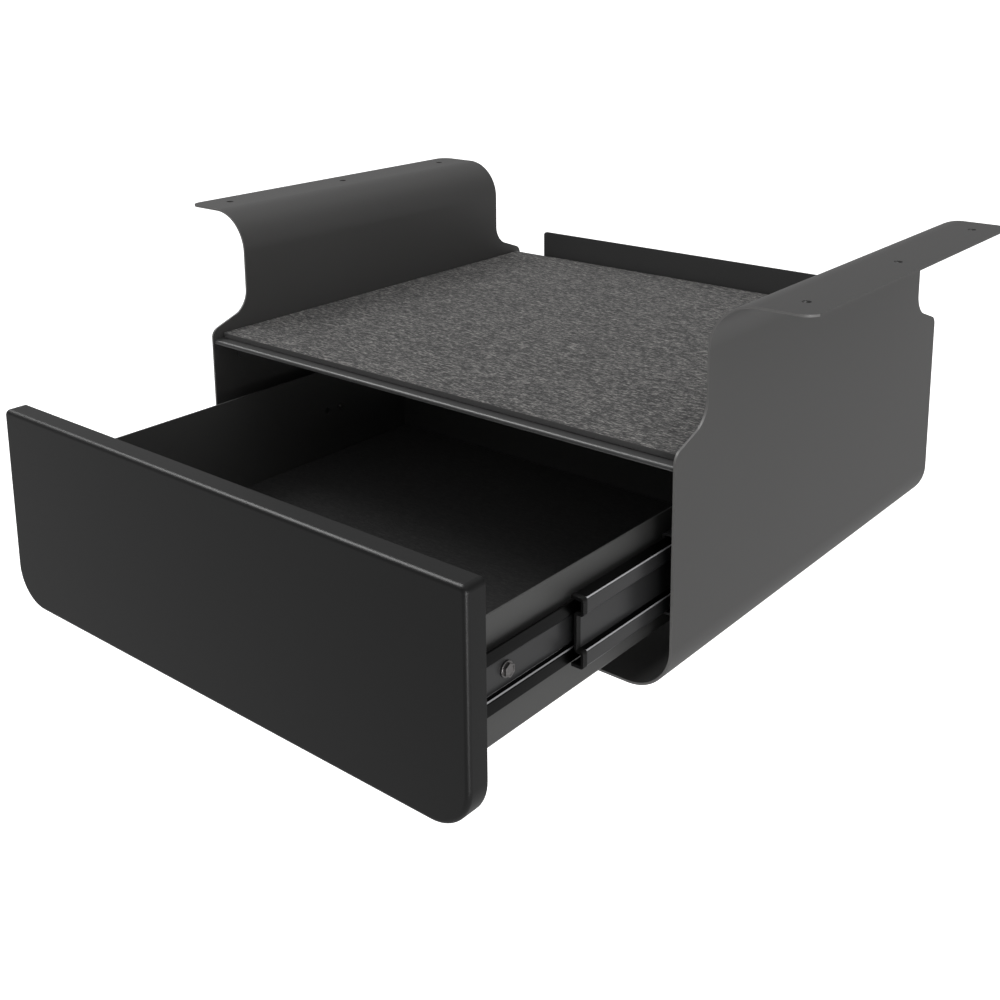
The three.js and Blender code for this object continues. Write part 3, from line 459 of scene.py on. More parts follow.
def pick(kind, test):
    """In edit mode, selects the vertices, edges or faces that pass the test."""
    bpy.ops.mesh.select_mode(type={"verts": "VERT", "edges": "EDGE", "faces": "FACE"}[kind])
    bpy.ops.mesh.select_all(action="DESELECT")
    mesh = bpy.context.object.data
    shape = bmesh.from_edit_mesh(mesh)
    found = 0
    for element in getattr(shape, kind):
        if test(element):
            element.select_set(True)
            found += 1
    bmesh.update_edit_mesh(mesh)
    if not found:
        raise RuntimeError(f"no {kind} to work on in {bpy.context.object.name}")


def near(point, tolerance=2e-5):
    target = Vector(point)
    return lambda element: (middle_of(element) - target).length < tolerance


def outward():
    bpy.ops.mesh.select_all(action="SELECT")
    bpy.ops.mesh.remove_doubles(threshold=1e-6)
    bpy.ops.mesh.normals_make_consistent(inside=False)


def apply_modifier(obj, kind, **settings):
    take(obj)
    modifier = obj.modifiers.new(kind.lower(), kind)
    for name, value in settings.items():
        setattr(modifier, name, value)
    bpy.ops.object.modifier_apply(modifier=modifier.name)


def boolean(obj, tool, operation):
    apply_modifier(obj, "BOOLEAN", operation=operation, object=tool, solver="EXACT")
    bpy.data.objects.remove(tool)


def soften(obj, width, segments=2, angle=CATCH_ANGLE):
    apply_modifier(
        obj,
        "BEVEL",
        width=width,
        segments=segments,
        limit_method="ANGLE",
        angle_limit=angle,
        use_clamp_overlap=True,
        miter_outer="MITER_ARC",
    )


def chain(name, points, closed):
    """A run of edges through the points, drawn by extruding one vertex from each to the next."""
    clear_bench()
    bpy.ops.mesh.primitive_plane_add(size=MM, location=points[0])
    obj = bpy.context.object
    obj.name = name
    bpy.ops.object.transform_apply(location=True, rotation=True, scale=True)
    edit(obj)
    bpy.ops.mesh.select_all(action="SELECT")
    bpy.ops.mesh.merge(type="CENTER")
    for here, there in zip(points, points[1:]):
        step = Vector(there) - Vector(here)
        bpy.ops.mesh.extrude_region_move(TRANSFORM_OT_translate={"value": step})
    if closed:
        pick("verts", lambda v: near(points[0])(v) or near(points[-1])(v))
        bpy.ops.mesh.edge_face_add()
        bpy.ops.mesh.select_all(action="SELECT")
        bpy.ops.mesh.edge_face_add()
    return obj


def corner_reach(before, corner, after, radius):
    """How far from a corner its rounding starts, for a radius."""
    into = (Vector(corner) - Vector(before)).normalized()
    out = (Vector(after) - Vector(corner)).normalized()
    return radius * math.tan(into.angle(out) / 2)


def slab(name, corners, place, along, segments=8):
    """An outline with rounded corners, each (a, b, radius), carried along a vector."""
    points = [place(a, b) for a, b, _ in corners]
    obj = chain(name, points, True)
    for i, (_, _, radius) in enumerate(corners):
        if radius:
            reach = corner_reach(points[i - 1], points[i], points[(i + 1) % len(points)], radius)
            pick("verts", near(points[i]))
            bpy.ops.mesh.bevel(offset=reach, segments=segments, affect="VERTICES", clamp_overlap=False)
    bpy.ops.mesh.select_mode(type="FACE")
    bpy.ops.mesh.select_all(action="SELECT")
    bpy.ops.mesh.extrude_region_move(TRANSFORM_OT_translate={"value": along})
    outward()
    leave_edit()
    return obj


def bent_sheet(name, corners, place, along, thickness, segments=6):
    """A sheet that follows a middle line, its bends rounded by (a, b, radius)."""
    points = [place(a, b) for a, b, _ in corners]
    obj = chain(name, points, False)
    bpy.ops.mesh.select_all(action="SELECT")
    bpy.ops.mesh.extrude_region_move(TRANSFORM_OT_translate={"value": along})
    half = Vector(along) / 2
    for i, (_, _, radius) in enumerate(corners[1:-1], 1):
        if radius:
            reach = corner_reach(points[i - 1], points[i], points[i + 1], radius)
            pick("edges", near(Vector(points[i]) + half))
            bpy.ops.mesh.bevel(offset=reach, segments=segments, affect="EDGES", clamp_overlap=False)
    outward()
    leave_edit()
    apply_modifier(obj, "SOLIDIFY", thickness=thickness, offset=0.0, use_even_offset=True)
    edit(obj)
    outward()
    leave_edit()
    return obj


def rod(name, radius, start, end, segments=40):
    """A plain round bar between two points, the start of a drill or a screw."""
    start, end = Vector(start), Vector(end)
    span = end - start
    clear_bench()
    turn = span.to_track_quat("Z", "Y").to_euler()
    bpy.ops.mesh.primitive_cylinder_add(
        vertices=segments,
        radius=radius,
        depth=span.length,
        location=(start + end) / 2,
        rotation=turn,
    )
    obj = bpy.context.object
    obj.name = name
    bpy.ops.object.transform_apply(location=True, rotation=True, scale=True)
    return obj


def drill(obj, radius, start, end, segments=40):
    boolean(obj, rod("drill", radius, start, end, segments), "DIFFERENCE")


def joined(name, objects):
    clear_bench()
    for obj in objects:
        obj.select_set(True)
    bpy.context.view_layer.objects.active = objects[0]
    bpy.ops.object.join()
    objects[0].name = name
    return objects[0]


def twin(obj, name):
    """The mirror image of a finished right-hand piece, with its own mesh."""
    take(obj)
    bpy.ops.object.duplicate()
    other = bpy.context.object
    other.name = name
    other.scale.x = -1
    bpy.ops.object.transform_apply(location=False, rotation=False, scale=True)
    edit(other)
    bpy.ops.mesh.select_all(action="SELECT")
    bpy.ops.mesh.normals_make_consistent(inside=False)
    leave_edit()
    return other


def mark(obj, name, test):
    """Writes 1 on each face that the test picks by its middle and normal, and 0 on the rest."""
    layer = obj.data.attributes.new(name, "FLOAT", "FACE")
    for face, value in zip(obj.data.polygons, layer.data):
        value.value = float(test(face.center, face.normal))


def settle(obj, body, nodes, kind):
    """Shades a finished piece, gives it its finish and puts it in the frame."""
    take(obj)
    bpy.ops.object.shade_smooth_by_angle(angle=SMOOTH_ANGLE)
    apply_modifier(obj, "WEIGHTED_NORMAL", keep_sharp=True, weight=100)
    obj.data.materials.clear()
    obj.data.materials.append(finish_named(kind))
    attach(obj, body)
    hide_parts(*nodes)


def settle_pair(right, piece, body, node, kind):
    """Settles a right-hand piece and its twin; body and node are given without their side."""
    left = twin(right, f"left_{piece}")
    right.name = f"right_{piece}"
    for side, obj in (("right", right), ("left", left)):
        settle(obj, body.format(side=side), [f"{side}_{node}"], kind)


def xz(y):
    return lambda a, b: Vector((a, y, b))


def yz(x):
    return lambda a, b: Vector((x, a, b))


def centre(node):
    low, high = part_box(node)
    return (low + high) / 2


# ------------------------------------------------------------------ housing
class DRAWER_OT_side_panels(bpy.types.Operator):
    """Bend the two side panels, cut their S-shaped ends and drill the mounting holes"""

    bl_idname = "drawer.side_panels"
    bl_label = "Side Panels"

    def execute(self, context):
        s = context.scene.drawer_sizes
        low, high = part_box("right_side_panel")
        middle = s.panel_sheet / 2
        wall = high.x - s.flange_reach - middle
        radius = s.bend_radius - middle
        path = [
            (high.x, high.z - middle, 0),
            (wall, high.z - middle, radius),
            (wall, low.z + middle, radius),
            (low.x, low.z + middle, 0),
        ]
        depth = high.y - low.y
        panel = bent_sheet(
            "right_side_panel_fine", path, xz(low.y), (0, depth, 0), s.panel_sheet, 20
        )
        self.round_upright_edges(panel, low.x, (low.y, high.y), s.curl_corner)
        for end, edge in ((1, low.y), (-1, high.y)):
            self.cut_notch(panel, s, edge, end, wall, high)
        flange_ends = (low.y + s.notch_inset, high.y - s.notch_inset)
        self.round_upright_edges(panel, high.x, flange_ends, s.flange_corner)
        hole_x = high.x - s.hole_inset
        for step in (-1, 0, 1):
            y = step * s.hole_pitch
            drill(panel, s.hole_radius, (hole_x, y, -2 * OVERCUT), (hole_x, y, 2 * OVERCUT))
        soften(panel, s.edge_catch)
        flange_foot = high.z - 2 * s.panel_sheet

        def is_cut_edge(at, way):
            from_end = min(at.y - low.y, high.y - at.y)
            return abs(way.y) > 0.3 and (at.z < flange_foot or from_end < 1.3 * s.notch_inset)

        # The cut edges are marked for a painted highlight in the powder coat.
        mark(panel, "thin_coat", is_cut_edge)
        settle_pair(panel, "side_panel_fine", "housing", "side_panel", "panel")
        return {"FINISHED"}

    @staticmethod
    def round_upright_edges(panel, x, ends, radius):
        edit(panel)

        def is_corner(edge):
            point = middle_of(edge)
            upright = abs(edge.verts[0].co.z - edge.verts[1].co.z) > 0.5 * MM
            at_end = min(abs(point.y - end) for end in ends) < 0.05 * MM
            return upright and at_end and abs(point.x - x) < 0.05 * MM

        pick("edges", is_corner)
        bpy.ops.mesh.bevel(offset=radius, segments=12, affect="EDGES", clamp_overlap=False)
        leave_edit()

    @staticmethod
    def cut_notch(panel, s, edge, end, wall, high):
        """end is 1 at the front and -1 at the rear; the cut follows the S curve."""
        turn = s.notch_turn
        reach_up = s.notch_upper_radius * math.tan(turn / 2)
        reach_low = s.notch_lower_radius * math.tan(turn / 2)
        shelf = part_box("shelf_felt_mat")[0].z - 0.3 * MM
        upper = edge + end * s.notch_inset
        corner_z = shelf + s.notch_rise - reach_up
        low_z = corner_z - s.notch_inset / math.tan(turn)
        over = OVERCUT
        sliver = 0.02 * MM
        outline = [
            (edge - end * over, high.z + over, 0),
            (upper, high.z + over, 0),
            (upper, corner_z, s.notch_upper_radius),
            (edge, low_z, s.notch_lower_radius),
            (edge - end * sliver, low_z - reach_low - 10 * sliver, 0),
            (edge - end * over, low_z - reach_low - 10 * sliver, 0),
        ]
        start = wall - 2 * s.bend_radius
        tool = slab("notch", outline, yz(start), (high.x + over - start, 0, 0), 12)
        boolean(panel, tool, "DIFFERENCE")


class DRAWER_OT_shelf(bpy.types.Operator):
    """Fold the shelf: hemmed front edge, rear upstand and side flanges"""

    bl_idname = "drawer.shelf"
    bl_label = "Shelf"

    def execute(self, context):
        s = context.scene.drawer_sizes
        low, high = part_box("shelf_tray")
        t = s.shelf_sheet
        top = high.z - s.upstand_height
        plate_z = top - t / 2
        hem_z = plate_z - t - s.hem_gap
        nose = (plate_z - hem_z) / 2 - 0.01 * MM
        path = [
            (low.y + s.hem_depth, hem_z, 0),
            (low.y + t / 2, hem_z, nose),
            (low.y + t / 2, plate_z, nose),
            (high.y - t / 2, plate_z, 1.5 * t),
            (high.y - t / 2, high.z, 0),
        ]
        width = high.x - low.x
        shelf = bent_sheet("shelf_fine", path, yz(low.x), (width, 0, 0), t, 8)
        end_x = high.x - s.upstand_end_gap + 0.3 * MM
        over = OVERCUT
        for side in SIDES.values():
            outline = [
                (side * end_x, top - t - over, 0),
                (side * end_x, high.z + over, 0),
                (side * (high.x + over), high.z + over, 0),
                (side * (high.x + over), top - t - over, 0),
            ]
            start = high.y - 3 * t
            boolean(shelf, slab("end cut", outline, xz(start), (0, 3 * t + over, 0)), "DIFFERENCE")
        edit(shelf)

        def is_top_corner(edge):
            point = middle_of(edge)
            along = abs(edge.verts[0].co.y - edge.verts[1].co.y) > 0.5 * MM
            return along and point.z > high.z - 0.1 * MM and abs(abs(point.x) - end_x) < 0.1 * MM

        pick("edges", is_top_corner)
        bpy.ops.mesh.bevel(offset=s.upstand_corner, segments=6, affect="EDGES", clamp_overlap=False)
        leave_edit()
        for side in SIDES.values():
            boolean(shelf, self.side_flange(s, side, low, high, top), "UNION")
        soften(shelf, s.edge_catch)
        nose_end = low.y + 2 * s.shelf_sheet

        def is_nose(at, way):
            return at.y < nose_end and way.y < -0.3 and -0.95 < way.z < -0.1

        # The hem nose is marked for a painted highlight in the powder coat.
        mark(shelf, "thin_coat", is_nose)
        settle(shelf, "housing", ["shelf_tray"], "shelf")
        return {"FINISHED"}

    @staticmethod
    def side_flange(s, side, low, high, top):
        ends = (low.y + s.shelf_flange_setback, high.y - s.shelf_flange_setback)
        bottom = top - s.shelf_flange
        outline = [
            (ends[0], bottom, 4 * MM),
            (ends[1], bottom, 4 * MM),
            (ends[1], top - s.shelf_sheet / 2, 0),
            (ends[0], top - s.shelf_sheet / 2, 0),
        ]
        inner = side * (high.x - s.shelf_sheet - 0.02 * MM)
        return slab("flange", outline, yz(inner), (side * s.shelf_sheet, 0, 0))


def felt_sheet(name, node, body, kind, corner):
    """A flat felt mat: a fine grid with slightly uneven faces and a soft cut edge."""
    low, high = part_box(node)
    size = high - low
    cell = 4.2 * MM
    clear_bench()
    bpy.ops.mesh.primitive_grid_add(
        x_subdivisions=round(size.x / cell),
        y_subdivisions=round(size.y / cell),
        size=1.0,
        location=((low.x + high.x) / 2, (low.y + high.y) / 2, low.z),
    )
    mat = bpy.context.object
    mat.name = name
    mat.scale = (size.x, size.y, 1.0)
    bpy.ops.object.transform_apply(location=True, rotation=True, scale=True)
    edit(mat)
    pick("verts", lambda v: len(v.link_edges) == 2)
    bpy.ops.mesh.bevel(offset=corner, segments=4, affect="VERTICES", clamp_overlap=False)
    bpy.ops.mesh.select_mode(type="FACE")
    bpy.ops.mesh.select_all(action="SELECT")
    bpy.ops.mesh.extrude_region_move(TRANSFORM_OT_translate={"value": (0, 0, size.z)})
    outward()

    def is_rim(edge):
        level = abs(edge.verts[0].co.z - edge.verts[1].co.z) < 1e-6
        return level and len(edge.link_faces) == 2 and edge.calc_face_angle() > RIM_ANGLE

    pick("edges", is_rim)
    bpy.ops.mesh.bevel(offset=0.4 * MM, segments=3, affect="EDGES", clamp_overlap=False)
    leave_edit()
    texture = bpy.data.textures.new(f"{name} unevenness", "CLOUDS")
    texture.noise_scale = 0.03
    texture.noise_depth = 2
    apply_modifier(
        mat,
        "DISPLACE",
        texture=texture,
        strength=0.05 * MM,
        mid_level=0.5,
        direction="NORMAL",
        texture_coords="LOCAL",
    )
    mark(mat, "cut_edge", lambda at, way: abs(way.z) < 0.8)
    settle(mat, body, [node], kind)


class DRAWER_OT_shelf_felt(bpy.types.Operator):
    """Lay the felt mat on the shelf"""

    bl_idname = "drawer.shelf_felt"
    bl_label = "Shelf Felt"

    def execute(self, context):
        s = context.scene.drawer_sizes
        felt_sheet(
            "shelf_felt_fine", "shelf_felt_mat", "housing", "felt", s.shelf_felt_corner
        )
        return {"FINISHED"}


class DRAWER_OT_drawer_liner(bpy.types.Operator):
    """Lay the felt liner in the drawer tray"""

    bl_idname = "drawer.drawer_liner"
    bl_label = "Drawer Liner"

    def execute(self, context):
        s = context.scene.drawer_sizes
        felt_sheet(
            "drawer_liner_fine", "drawer_felt_liner", "drawer", "liner", s.liner_corner
        )
        return {"FINISHED"}


# ------------------------------------------------------------------ drawer
class DRAWER_OT_drawer_front(bpy.types.Operator):
    """Shape the lacquered drawer front with its rounded edge and its screw holes"""

    bl_idname = "drawer.drawer_front"
    bl_label = "Drawer Front"

    def execute(self, context):
        s = context.scene.drawer_sizes
        low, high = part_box("drawer_front")
        outline = [
            (low.x, low.z, s.front_low_corner),
            (high.x, low.z, s.front_low_corner),
            (high.x, high.z, s.front_top_corner),
            (low.x, high.z, s.front_top_corner),
        ]
        front = slab("drawer_front_fine", outline, xz(low.y), (0, high.y - low.y, 0), 16)
        edit(front)
        for y, radius, segments in ((low.y, s.front_edge_radius, 8), (high.y, 0.4 * MM, 2)):
            pick("edges", lambda e: all(abs(v.co.y - y) < 1e-6 for v in e.verts))
            bpy.ops.mesh.bevel(offset=radius, segments=segments, affect="EDGES", clamp_overlap=False)
        outward()
        leave_edit()
        for number in (1, 2, 3, 4):
            where = centre(f"drawer_front_screw_{number}")
            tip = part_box(f"drawer_front_screw_{number}")[0].y - 0.3 * MM
            start = (where.x, tip, where.z)
            drill(front, s.screw_hole_radius, start, (where.x, high.y + OVERCUT, where.z), 24)
        settle(front, "drawer", ["drawer_front"], "front")
        return {"FINISHED"}


class DRAWER_OT_tray(bpy.types.Operator):
    """Fold the drawer tray, weld its end walls in and drill the screw holes"""

    bl_idname = "drawer.tray"
    bl_label = "Drawer Tray"

    def execute(self, context):
        s = context.scene.drawer_sizes
        low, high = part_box("drawer_tray")
        t = s.tray_sheet
        bend = 2 * t
        path = [
            (low.x + t / 2, high.z, 0),
            (low.x + t / 2, low.z + t / 2, bend),
            (high.x - t / 2, low.z + t / 2, bend),
            (high.x - t / 2, high.z, 0),
        ]
        tray = bent_sheet("tray_fine", path, xz(low.y), (0, high.y - low.y, 0), t, 6)
        reach = high.x - t / 2
        for start in (low.y + 0.02 * MM, high.y - t - 0.02 * MM):
            outline = [
                (-reach, low.z + t / 2, bend),
                (reach, low.z + t / 2, bend),
                (reach, high.z - 0.02 * MM, 0),
                (-reach, high.z - 0.02 * MM, 0),
            ]
            boolean(tray, slab("wall", outline, xz(start), (0, t, 0)), "UNION")
        over = 4 * MM
        for number in (1, 2, 3, 4):
            where = centre(f"drawer_front_screw_{number}")
            start = (where.x, low.y - over, where.z)
            drill(tray, s.screw_hole_radius, start, (where.x, low.y + t + over, where.z), 24)
        for name, side in SIDES.items():
            screws = [centre(f"{name}_drawer_member_screw_{number}").y for number in (1, 2)]
            holes = [(y, s.screw_hole_radius) for y in screws]
            holes.append((low.y + s.spare_hole_setback, s.spare_hole_radius))
            z = centre(f"{name}_drawer_member_screw_1").z
            for y, radius in holes:
                start = (side * (high.x - t - over), y, z)
                drill(tray, radius, start, (side * (high.x + over), y, z), 28)
        soften(tray, 0.18 * MM)
        settle(tray, "drawer", ["drawer_tray"], "tray")
        return {"FINISHED"}


class DRAWER_OT_front_screws(bpy.types.Operator):
    """Make the four cross-slotted screws that hold the tray to the front"""

    bl_idname = "drawer.front_screws"
    bl_label = "Front Screws"

    def execute(self, context):
        s = context.scene.drawer_sizes
        for number in (1, 2, 3, 4):
            node = f"drawer_front_screw_{number}"
            low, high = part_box(node)
            where = (low + high) / 2
            seat = high.y - 2.6 * MM
            head = rod("head", (high.x - low.x) / 2, (where.x, seat, where.z), (where.x, high.y, where.z))
            self.crown(head, high.y)
            for wide, tall in ((2.2, 0.5), (0.5, 2.2)):
                outline = [
                    (where.x - wide * MM, where.z - tall * MM, 0),
                    (where.x + wide * MM, where.z - tall * MM, 0),
                    (where.x + wide * MM, where.z + tall * MM, 0),
                    (where.x - wide * MM, where.z + tall * MM, 0),
                ]
                slot = slab("slot", outline, xz(high.y - 1.3 * MM), (0, 3 * MM, 0))
                boolean(head, slot, "DIFFERENCE")
            tip = (where.x, low.y, where.z)
            shank = threaded_shank(s.screw_radius, tip, (where.x, seat + 0.6 * MM, where.z))
            screw = joined(f"front_screw_{number}_fine", [head, shank])
            settle(screw, "drawer", [node], "screw")
        return {"FINISHED"}

    @staticmethod
    def crown(head, top):
        edit(head)
        pick("edges", lambda e: all(abs(v.co.y - top) < 1e-6 for v in e.verts))
        bpy.ops.mesh.bevel(offset=1.3 * MM, segments=6, affect="EDGES", clamp_overlap=False)
        outward()
        leave_edit()


def threaded_shank(radius, tip, root, pitch=0.9 * MM):
    """A shank with a ring-shaped ridge at every turn and a tapered tip."""
    core = 0.86
    shank = rod("shank", radius * core, tip, root, 20)
    span = Vector(root) - Vector(tip)
    axis = span.normalized()
    count = max(2, int(span.length / pitch) * 2)
    edit(shank)
    pick("edges", lambda e: abs((e.verts[0].co - e.verts[1].co).normalized().dot(axis)) > 0.99)
    bpy.ops.mesh.subdivide(number_cuts=count)
    shape = bmesh.from_edit_mesh(shank.data)
    start = Vector(tip)
    for vertex in shape.verts:
        along = (vertex.co - start).dot(axis)
        step = round(along / span.length * (count + 1))
        foot = start + axis * along
        if step in (0, count + 1):
            factor = 0.7 if step == 0 else 1.0
        else:
            factor = 1.0 / core if step % 2 else 1.0
        vertex.co = foot + (vertex.co - foot) * factor
    bmesh.update_edit_mesh(shank.data)
    outward()
    leave_edit()
    return shank


# ------------------------------------------------------------------ slides
def stepped_path(web, strip, step, top, flange_end, radius):
    """Middle line of a member: a web with raised strips over and under it, about z = 0."""
    half = [(web, step), (strip, step), (strip, top)]
    if flange_end is not None:
        half.append((flange_end, top))
    low = [(x, -z) for x, z in reversed(half)]
    points = low + half
    last = len(points) - 1
    return [(x, z, 0 if i in (0, last) else radius) for i, (x, z) in enumerate(points)]


def lifted(path, z):
    return [(a, b + z, radius) for a, b, radius in path]


class DRAWER_OT_cabinet_members(bpy.types.Operator):
    """Roll the slide members that are screwed to the side panels"""

    bl_idname = "drawer.cabinet_members"
    bl_label = "Cabinet Members"

    def execute(self, context):
        s = context.scene.drawer_sizes
        low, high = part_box("right_slide_cabinet_member")
        t = s.slide_sheet
        half = (high.z - low.z) / 2
        lip = low.x + t / 2
        web = high.x - t / 2
        flange = half - t / 2
        profile = [
            (lip, half - s.cabinet_lip, 0),
            (lip, flange, 1.1 * MM),
            (web, flange, 1.8 * MM),
            (web, -flange, 1.8 * MM),
            (lip, -flange, 1.1 * MM),
            (lip, -(half - s.cabinet_lip), 0),
        ]
        z = (high.z + low.z) / 2
        rail = bent_sheet("rail", lifted(profile, z), xz(low.y), (0, high.y - low.y, 0), t, 6)
        for number in (1, 2, 3):
            y = centre(f"right_cabinet_member_screw_{number}").y
            drill(rail, s.screw_hole_radius, (web - OVERCUT, y, z), (web + OVERCUT, y, z), 28)
        soften(rail, 0.15 * MM)
        settle_pair(rail, "cabinet_member_fine", "housing", "slide_cabinet_member", "slide")
        return {"FINISHED"}


def middle_profile(s, node, thickness):
    low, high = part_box("right_slide_middle_member")
    t = s.slide_sheet
    half = (high.z - low.z) / 2
    strip = high.x - t / 2
    web = strip - s.middle_recess
    radius = max(0.9 * MM, thickness * 0.55)
    path = stepped_path(web, strip, half - s.middle_strip - t / 2, half - t / 2, low.x, radius)
    start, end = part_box(node)
    return lifted(path, (high.z + low.z) / 2), start.y, end.y - start.y


class DRAWER_OT_middle_members(bpy.types.Operator):
    """Roll the middle slide members and mould the bumpers on their front ends"""

    bl_idname = "drawer.middle_members"
    bl_label = "Middle Members"

    def execute(self, context):
        s = context.scene.drawer_sizes
        path, start, reach = middle_profile(s, "right_slide_middle_member", s.slide_sheet)
        rail = bent_sheet("rail", path, xz(start), (0, reach, 0), s.slide_sheet, 6)
        soften(rail, 0.2 * MM)
        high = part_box("right_slide_middle_member")[1]
        corner = high.x - 1.3 * MM
        # Painted shade on the flat steps and flanges, and a painted highlight on the strips' upper outer
        # bends.
        mark(rail, "greased", lambda at, way: abs(way.z) > 0.85 and at.x < high.x - 0.3 * MM)
        mark(rail, "burnished", lambda at, way: at.x > corner and 0.4 < way.z < 0.9)
        settle_pair(rail, "middle_member_fine", "{side}_middle", "slide_middle_member", "slide")
        path, start, reach = middle_profile(s, "right_slide_front_bumper", s.bumper_sheet)
        bumper = bent_sheet("bumper", path, xz(start), (0, reach, 0), s.bumper_sheet, 6)
        soften(bumper, 0.45 * MM, 3)
        settle_pair(bumper, "front_bumper_fine", "{side}_middle", "slide_front_bumper", "bumper")
        return {"FINISHED"}


class DRAWER_OT_drawer_members(bpy.types.Operator):
    """Roll the slide members that are screwed to the drawer tray"""

    bl_idname = "drawer.drawer_members"
    bl_label = "Drawer Members"

    def execute(self, context):
        s = context.scene.drawer_sizes
        low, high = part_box("right_slide_drawer_member")
        t = s.slide_sheet
        half = (high.z - low.z) / 2
        z = (high.z + low.z) / 2
        path = stepped_path(
            low.x + t / 2, high.x - t / 2, half - s.inner_strip - t / 2, half, None, 0.9 * MM
        )
        rail = bent_sheet("rail", lifted(path, z), xz(low.y), (0, high.y - low.y, 0), t, 6)
        for number in (1, 2):
            y = centre(f"right_drawer_member_screw_{number}").y
            drill(rail, s.screw_hole_radius, (low.x - 3 * MM, y, z), (low.x + 4 * MM, y, z), 28)
        soften(rail, 0.25 * MM)
        race = half - s.inner_strip - t * 1.2
        # Painted shade on the race bands over and under the web, and a painted highlight on the lower
        # strip's upper bend.
        mark(rail, "greased", lambda at, way: abs(at.z - z) > race)
        mark(rail, "burnished", lambda at, way: at.z < z - race and 0.45 < way.z < 0.8)
        settle_pair(rail, "drawer_member_fine", "drawer", "slide_drawer_member", "slide")
        return {"FINISHED"}


class DRAWER_OT_rear_stops(bpy.types.Operator):
    """Mould the stops at the rear ends of the cabinet members"""

    bl_idname = "drawer.rear_stops"
    bl_label = "Rear Stops"

    def execute(self, context):
        low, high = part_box("right_slide_rear_stop")
        outline = [
            (low.x, low.z, 2 * MM),
            (high.x, low.z, 2 * MM),
            (high.x, high.z, 2 * MM),
            (low.x, high.z, 2 * MM),
        ]
        stop = slab("stop", outline, xz(low.y), (0, high.y - low.y, 0), 6)
        edit(stop)
        for y, inset in ((low.y, 1.6 * MM), (high.y, 1.2 * MM)):
            pick("faces", lambda f: all(abs(v.co.y - y) < 1e-6 for v in f.verts))
            bpy.ops.mesh.inset(thickness=inset)
            step = 0.8 * MM if y == low.y else -0.8 * MM
            bpy.ops.mesh.extrude_region_move(TRANSFORM_OT_translate={"value": (0, step, 0)})
        outward()
        leave_edit()
        soften(stop, 0.3 * MM)
        settle_pair(stop, "rear_stop_fine", "housing", "slide_rear_stop", "bumper")
        return {"FINISHED"}


class DRAWER_OT_ball_cages(bpy.types.Operator):
    """Bend the ball cages and set their balls"""

    bl_idname = "drawer.ball_cages"
    bl_label = "Ball Cages"

    def execute(self, context):
        self.outer()
        self.inner()
        return {"FINISHED"}

    def outer(self):
        low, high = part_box("right_outer_ball_cage")
        z = (low.z + high.z) / 2
        ball = 1.5 * MM
        arm = (high.z - low.z) / 2 - ball
        web = high.x - 0.3 * MM
        path = [
            (low.x, z + arm, 0),
            (web, z + arm, 0.8 * MM),
            (web, z - arm, 0.8 * MM),
            (low.x, z - arm, 0),
        ]
        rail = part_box("right_slide_middle_member")[1]
        balls = (rail.x - 4 * MM, arm, ball)
        self.cage("outer", path, low, high, 0.6 * MM, z, balls)

    def inner(self):
        low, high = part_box("right_inner_ball_cage")
        z = (low.z + high.z) / 2
        ball = 2.5 * MM
        ball_x = high.x - ball
        tip = (high.z - low.z) / 2
        web = low.x + 0.2 * MM
        arm = tip - 2 * ball - 0.05 * MM
        half = [(web, arm), (ball_x, arm), (ball_x, tip)]
        low_half = [(x, z - up, 0.3 * MM) for x, up in reversed(half)]
        path = low_half + [(x, z + up, 0.3 * MM) for x, up in half]
        self.cage("inner", path, low, high, 0.4 * MM, z, (ball_x, tip - ball, ball))

    def cage(self, kind, path, low, high, sheet, z, balls):
        strip = bent_sheet(f"{kind} strip", path, xz(low.y), (0, high.y - low.y, 0), sheet, 4)
        soften(strip, 0.08 * MM)
        mark(strip, "is_ball", lambda at, way: False)
        pieces = [strip]
        ball_x, ball_z, radius = balls
        pitch = (high.y - low.y) / BALLS_PER_ROW
        for side in SIDES.values():
            for step in range(BALLS_PER_ROW):
                where = (ball_x, low.y + pitch * (step + 0.5), z + side * ball_z)
                pieces.append(self.ball(where, radius))
        cage = joined("cage", pieces)
        body = "{side}_" + f"{kind}_cage"
        settle_pair(cage, f"{kind}_cage_fine", body, f"{kind}_ball_cage", "cage")

    def ball(self, where, radius):
        clear_bench()
        bpy.ops.mesh.primitive_ico_sphere_add(subdivisions=3, radius=radius, location=where)
        ball = bpy.context.object
        bpy.ops.object.transform_apply(location=True, rotation=True, scale=True)
        mark(ball, "is_ball", lambda at, way: True)
        return ball


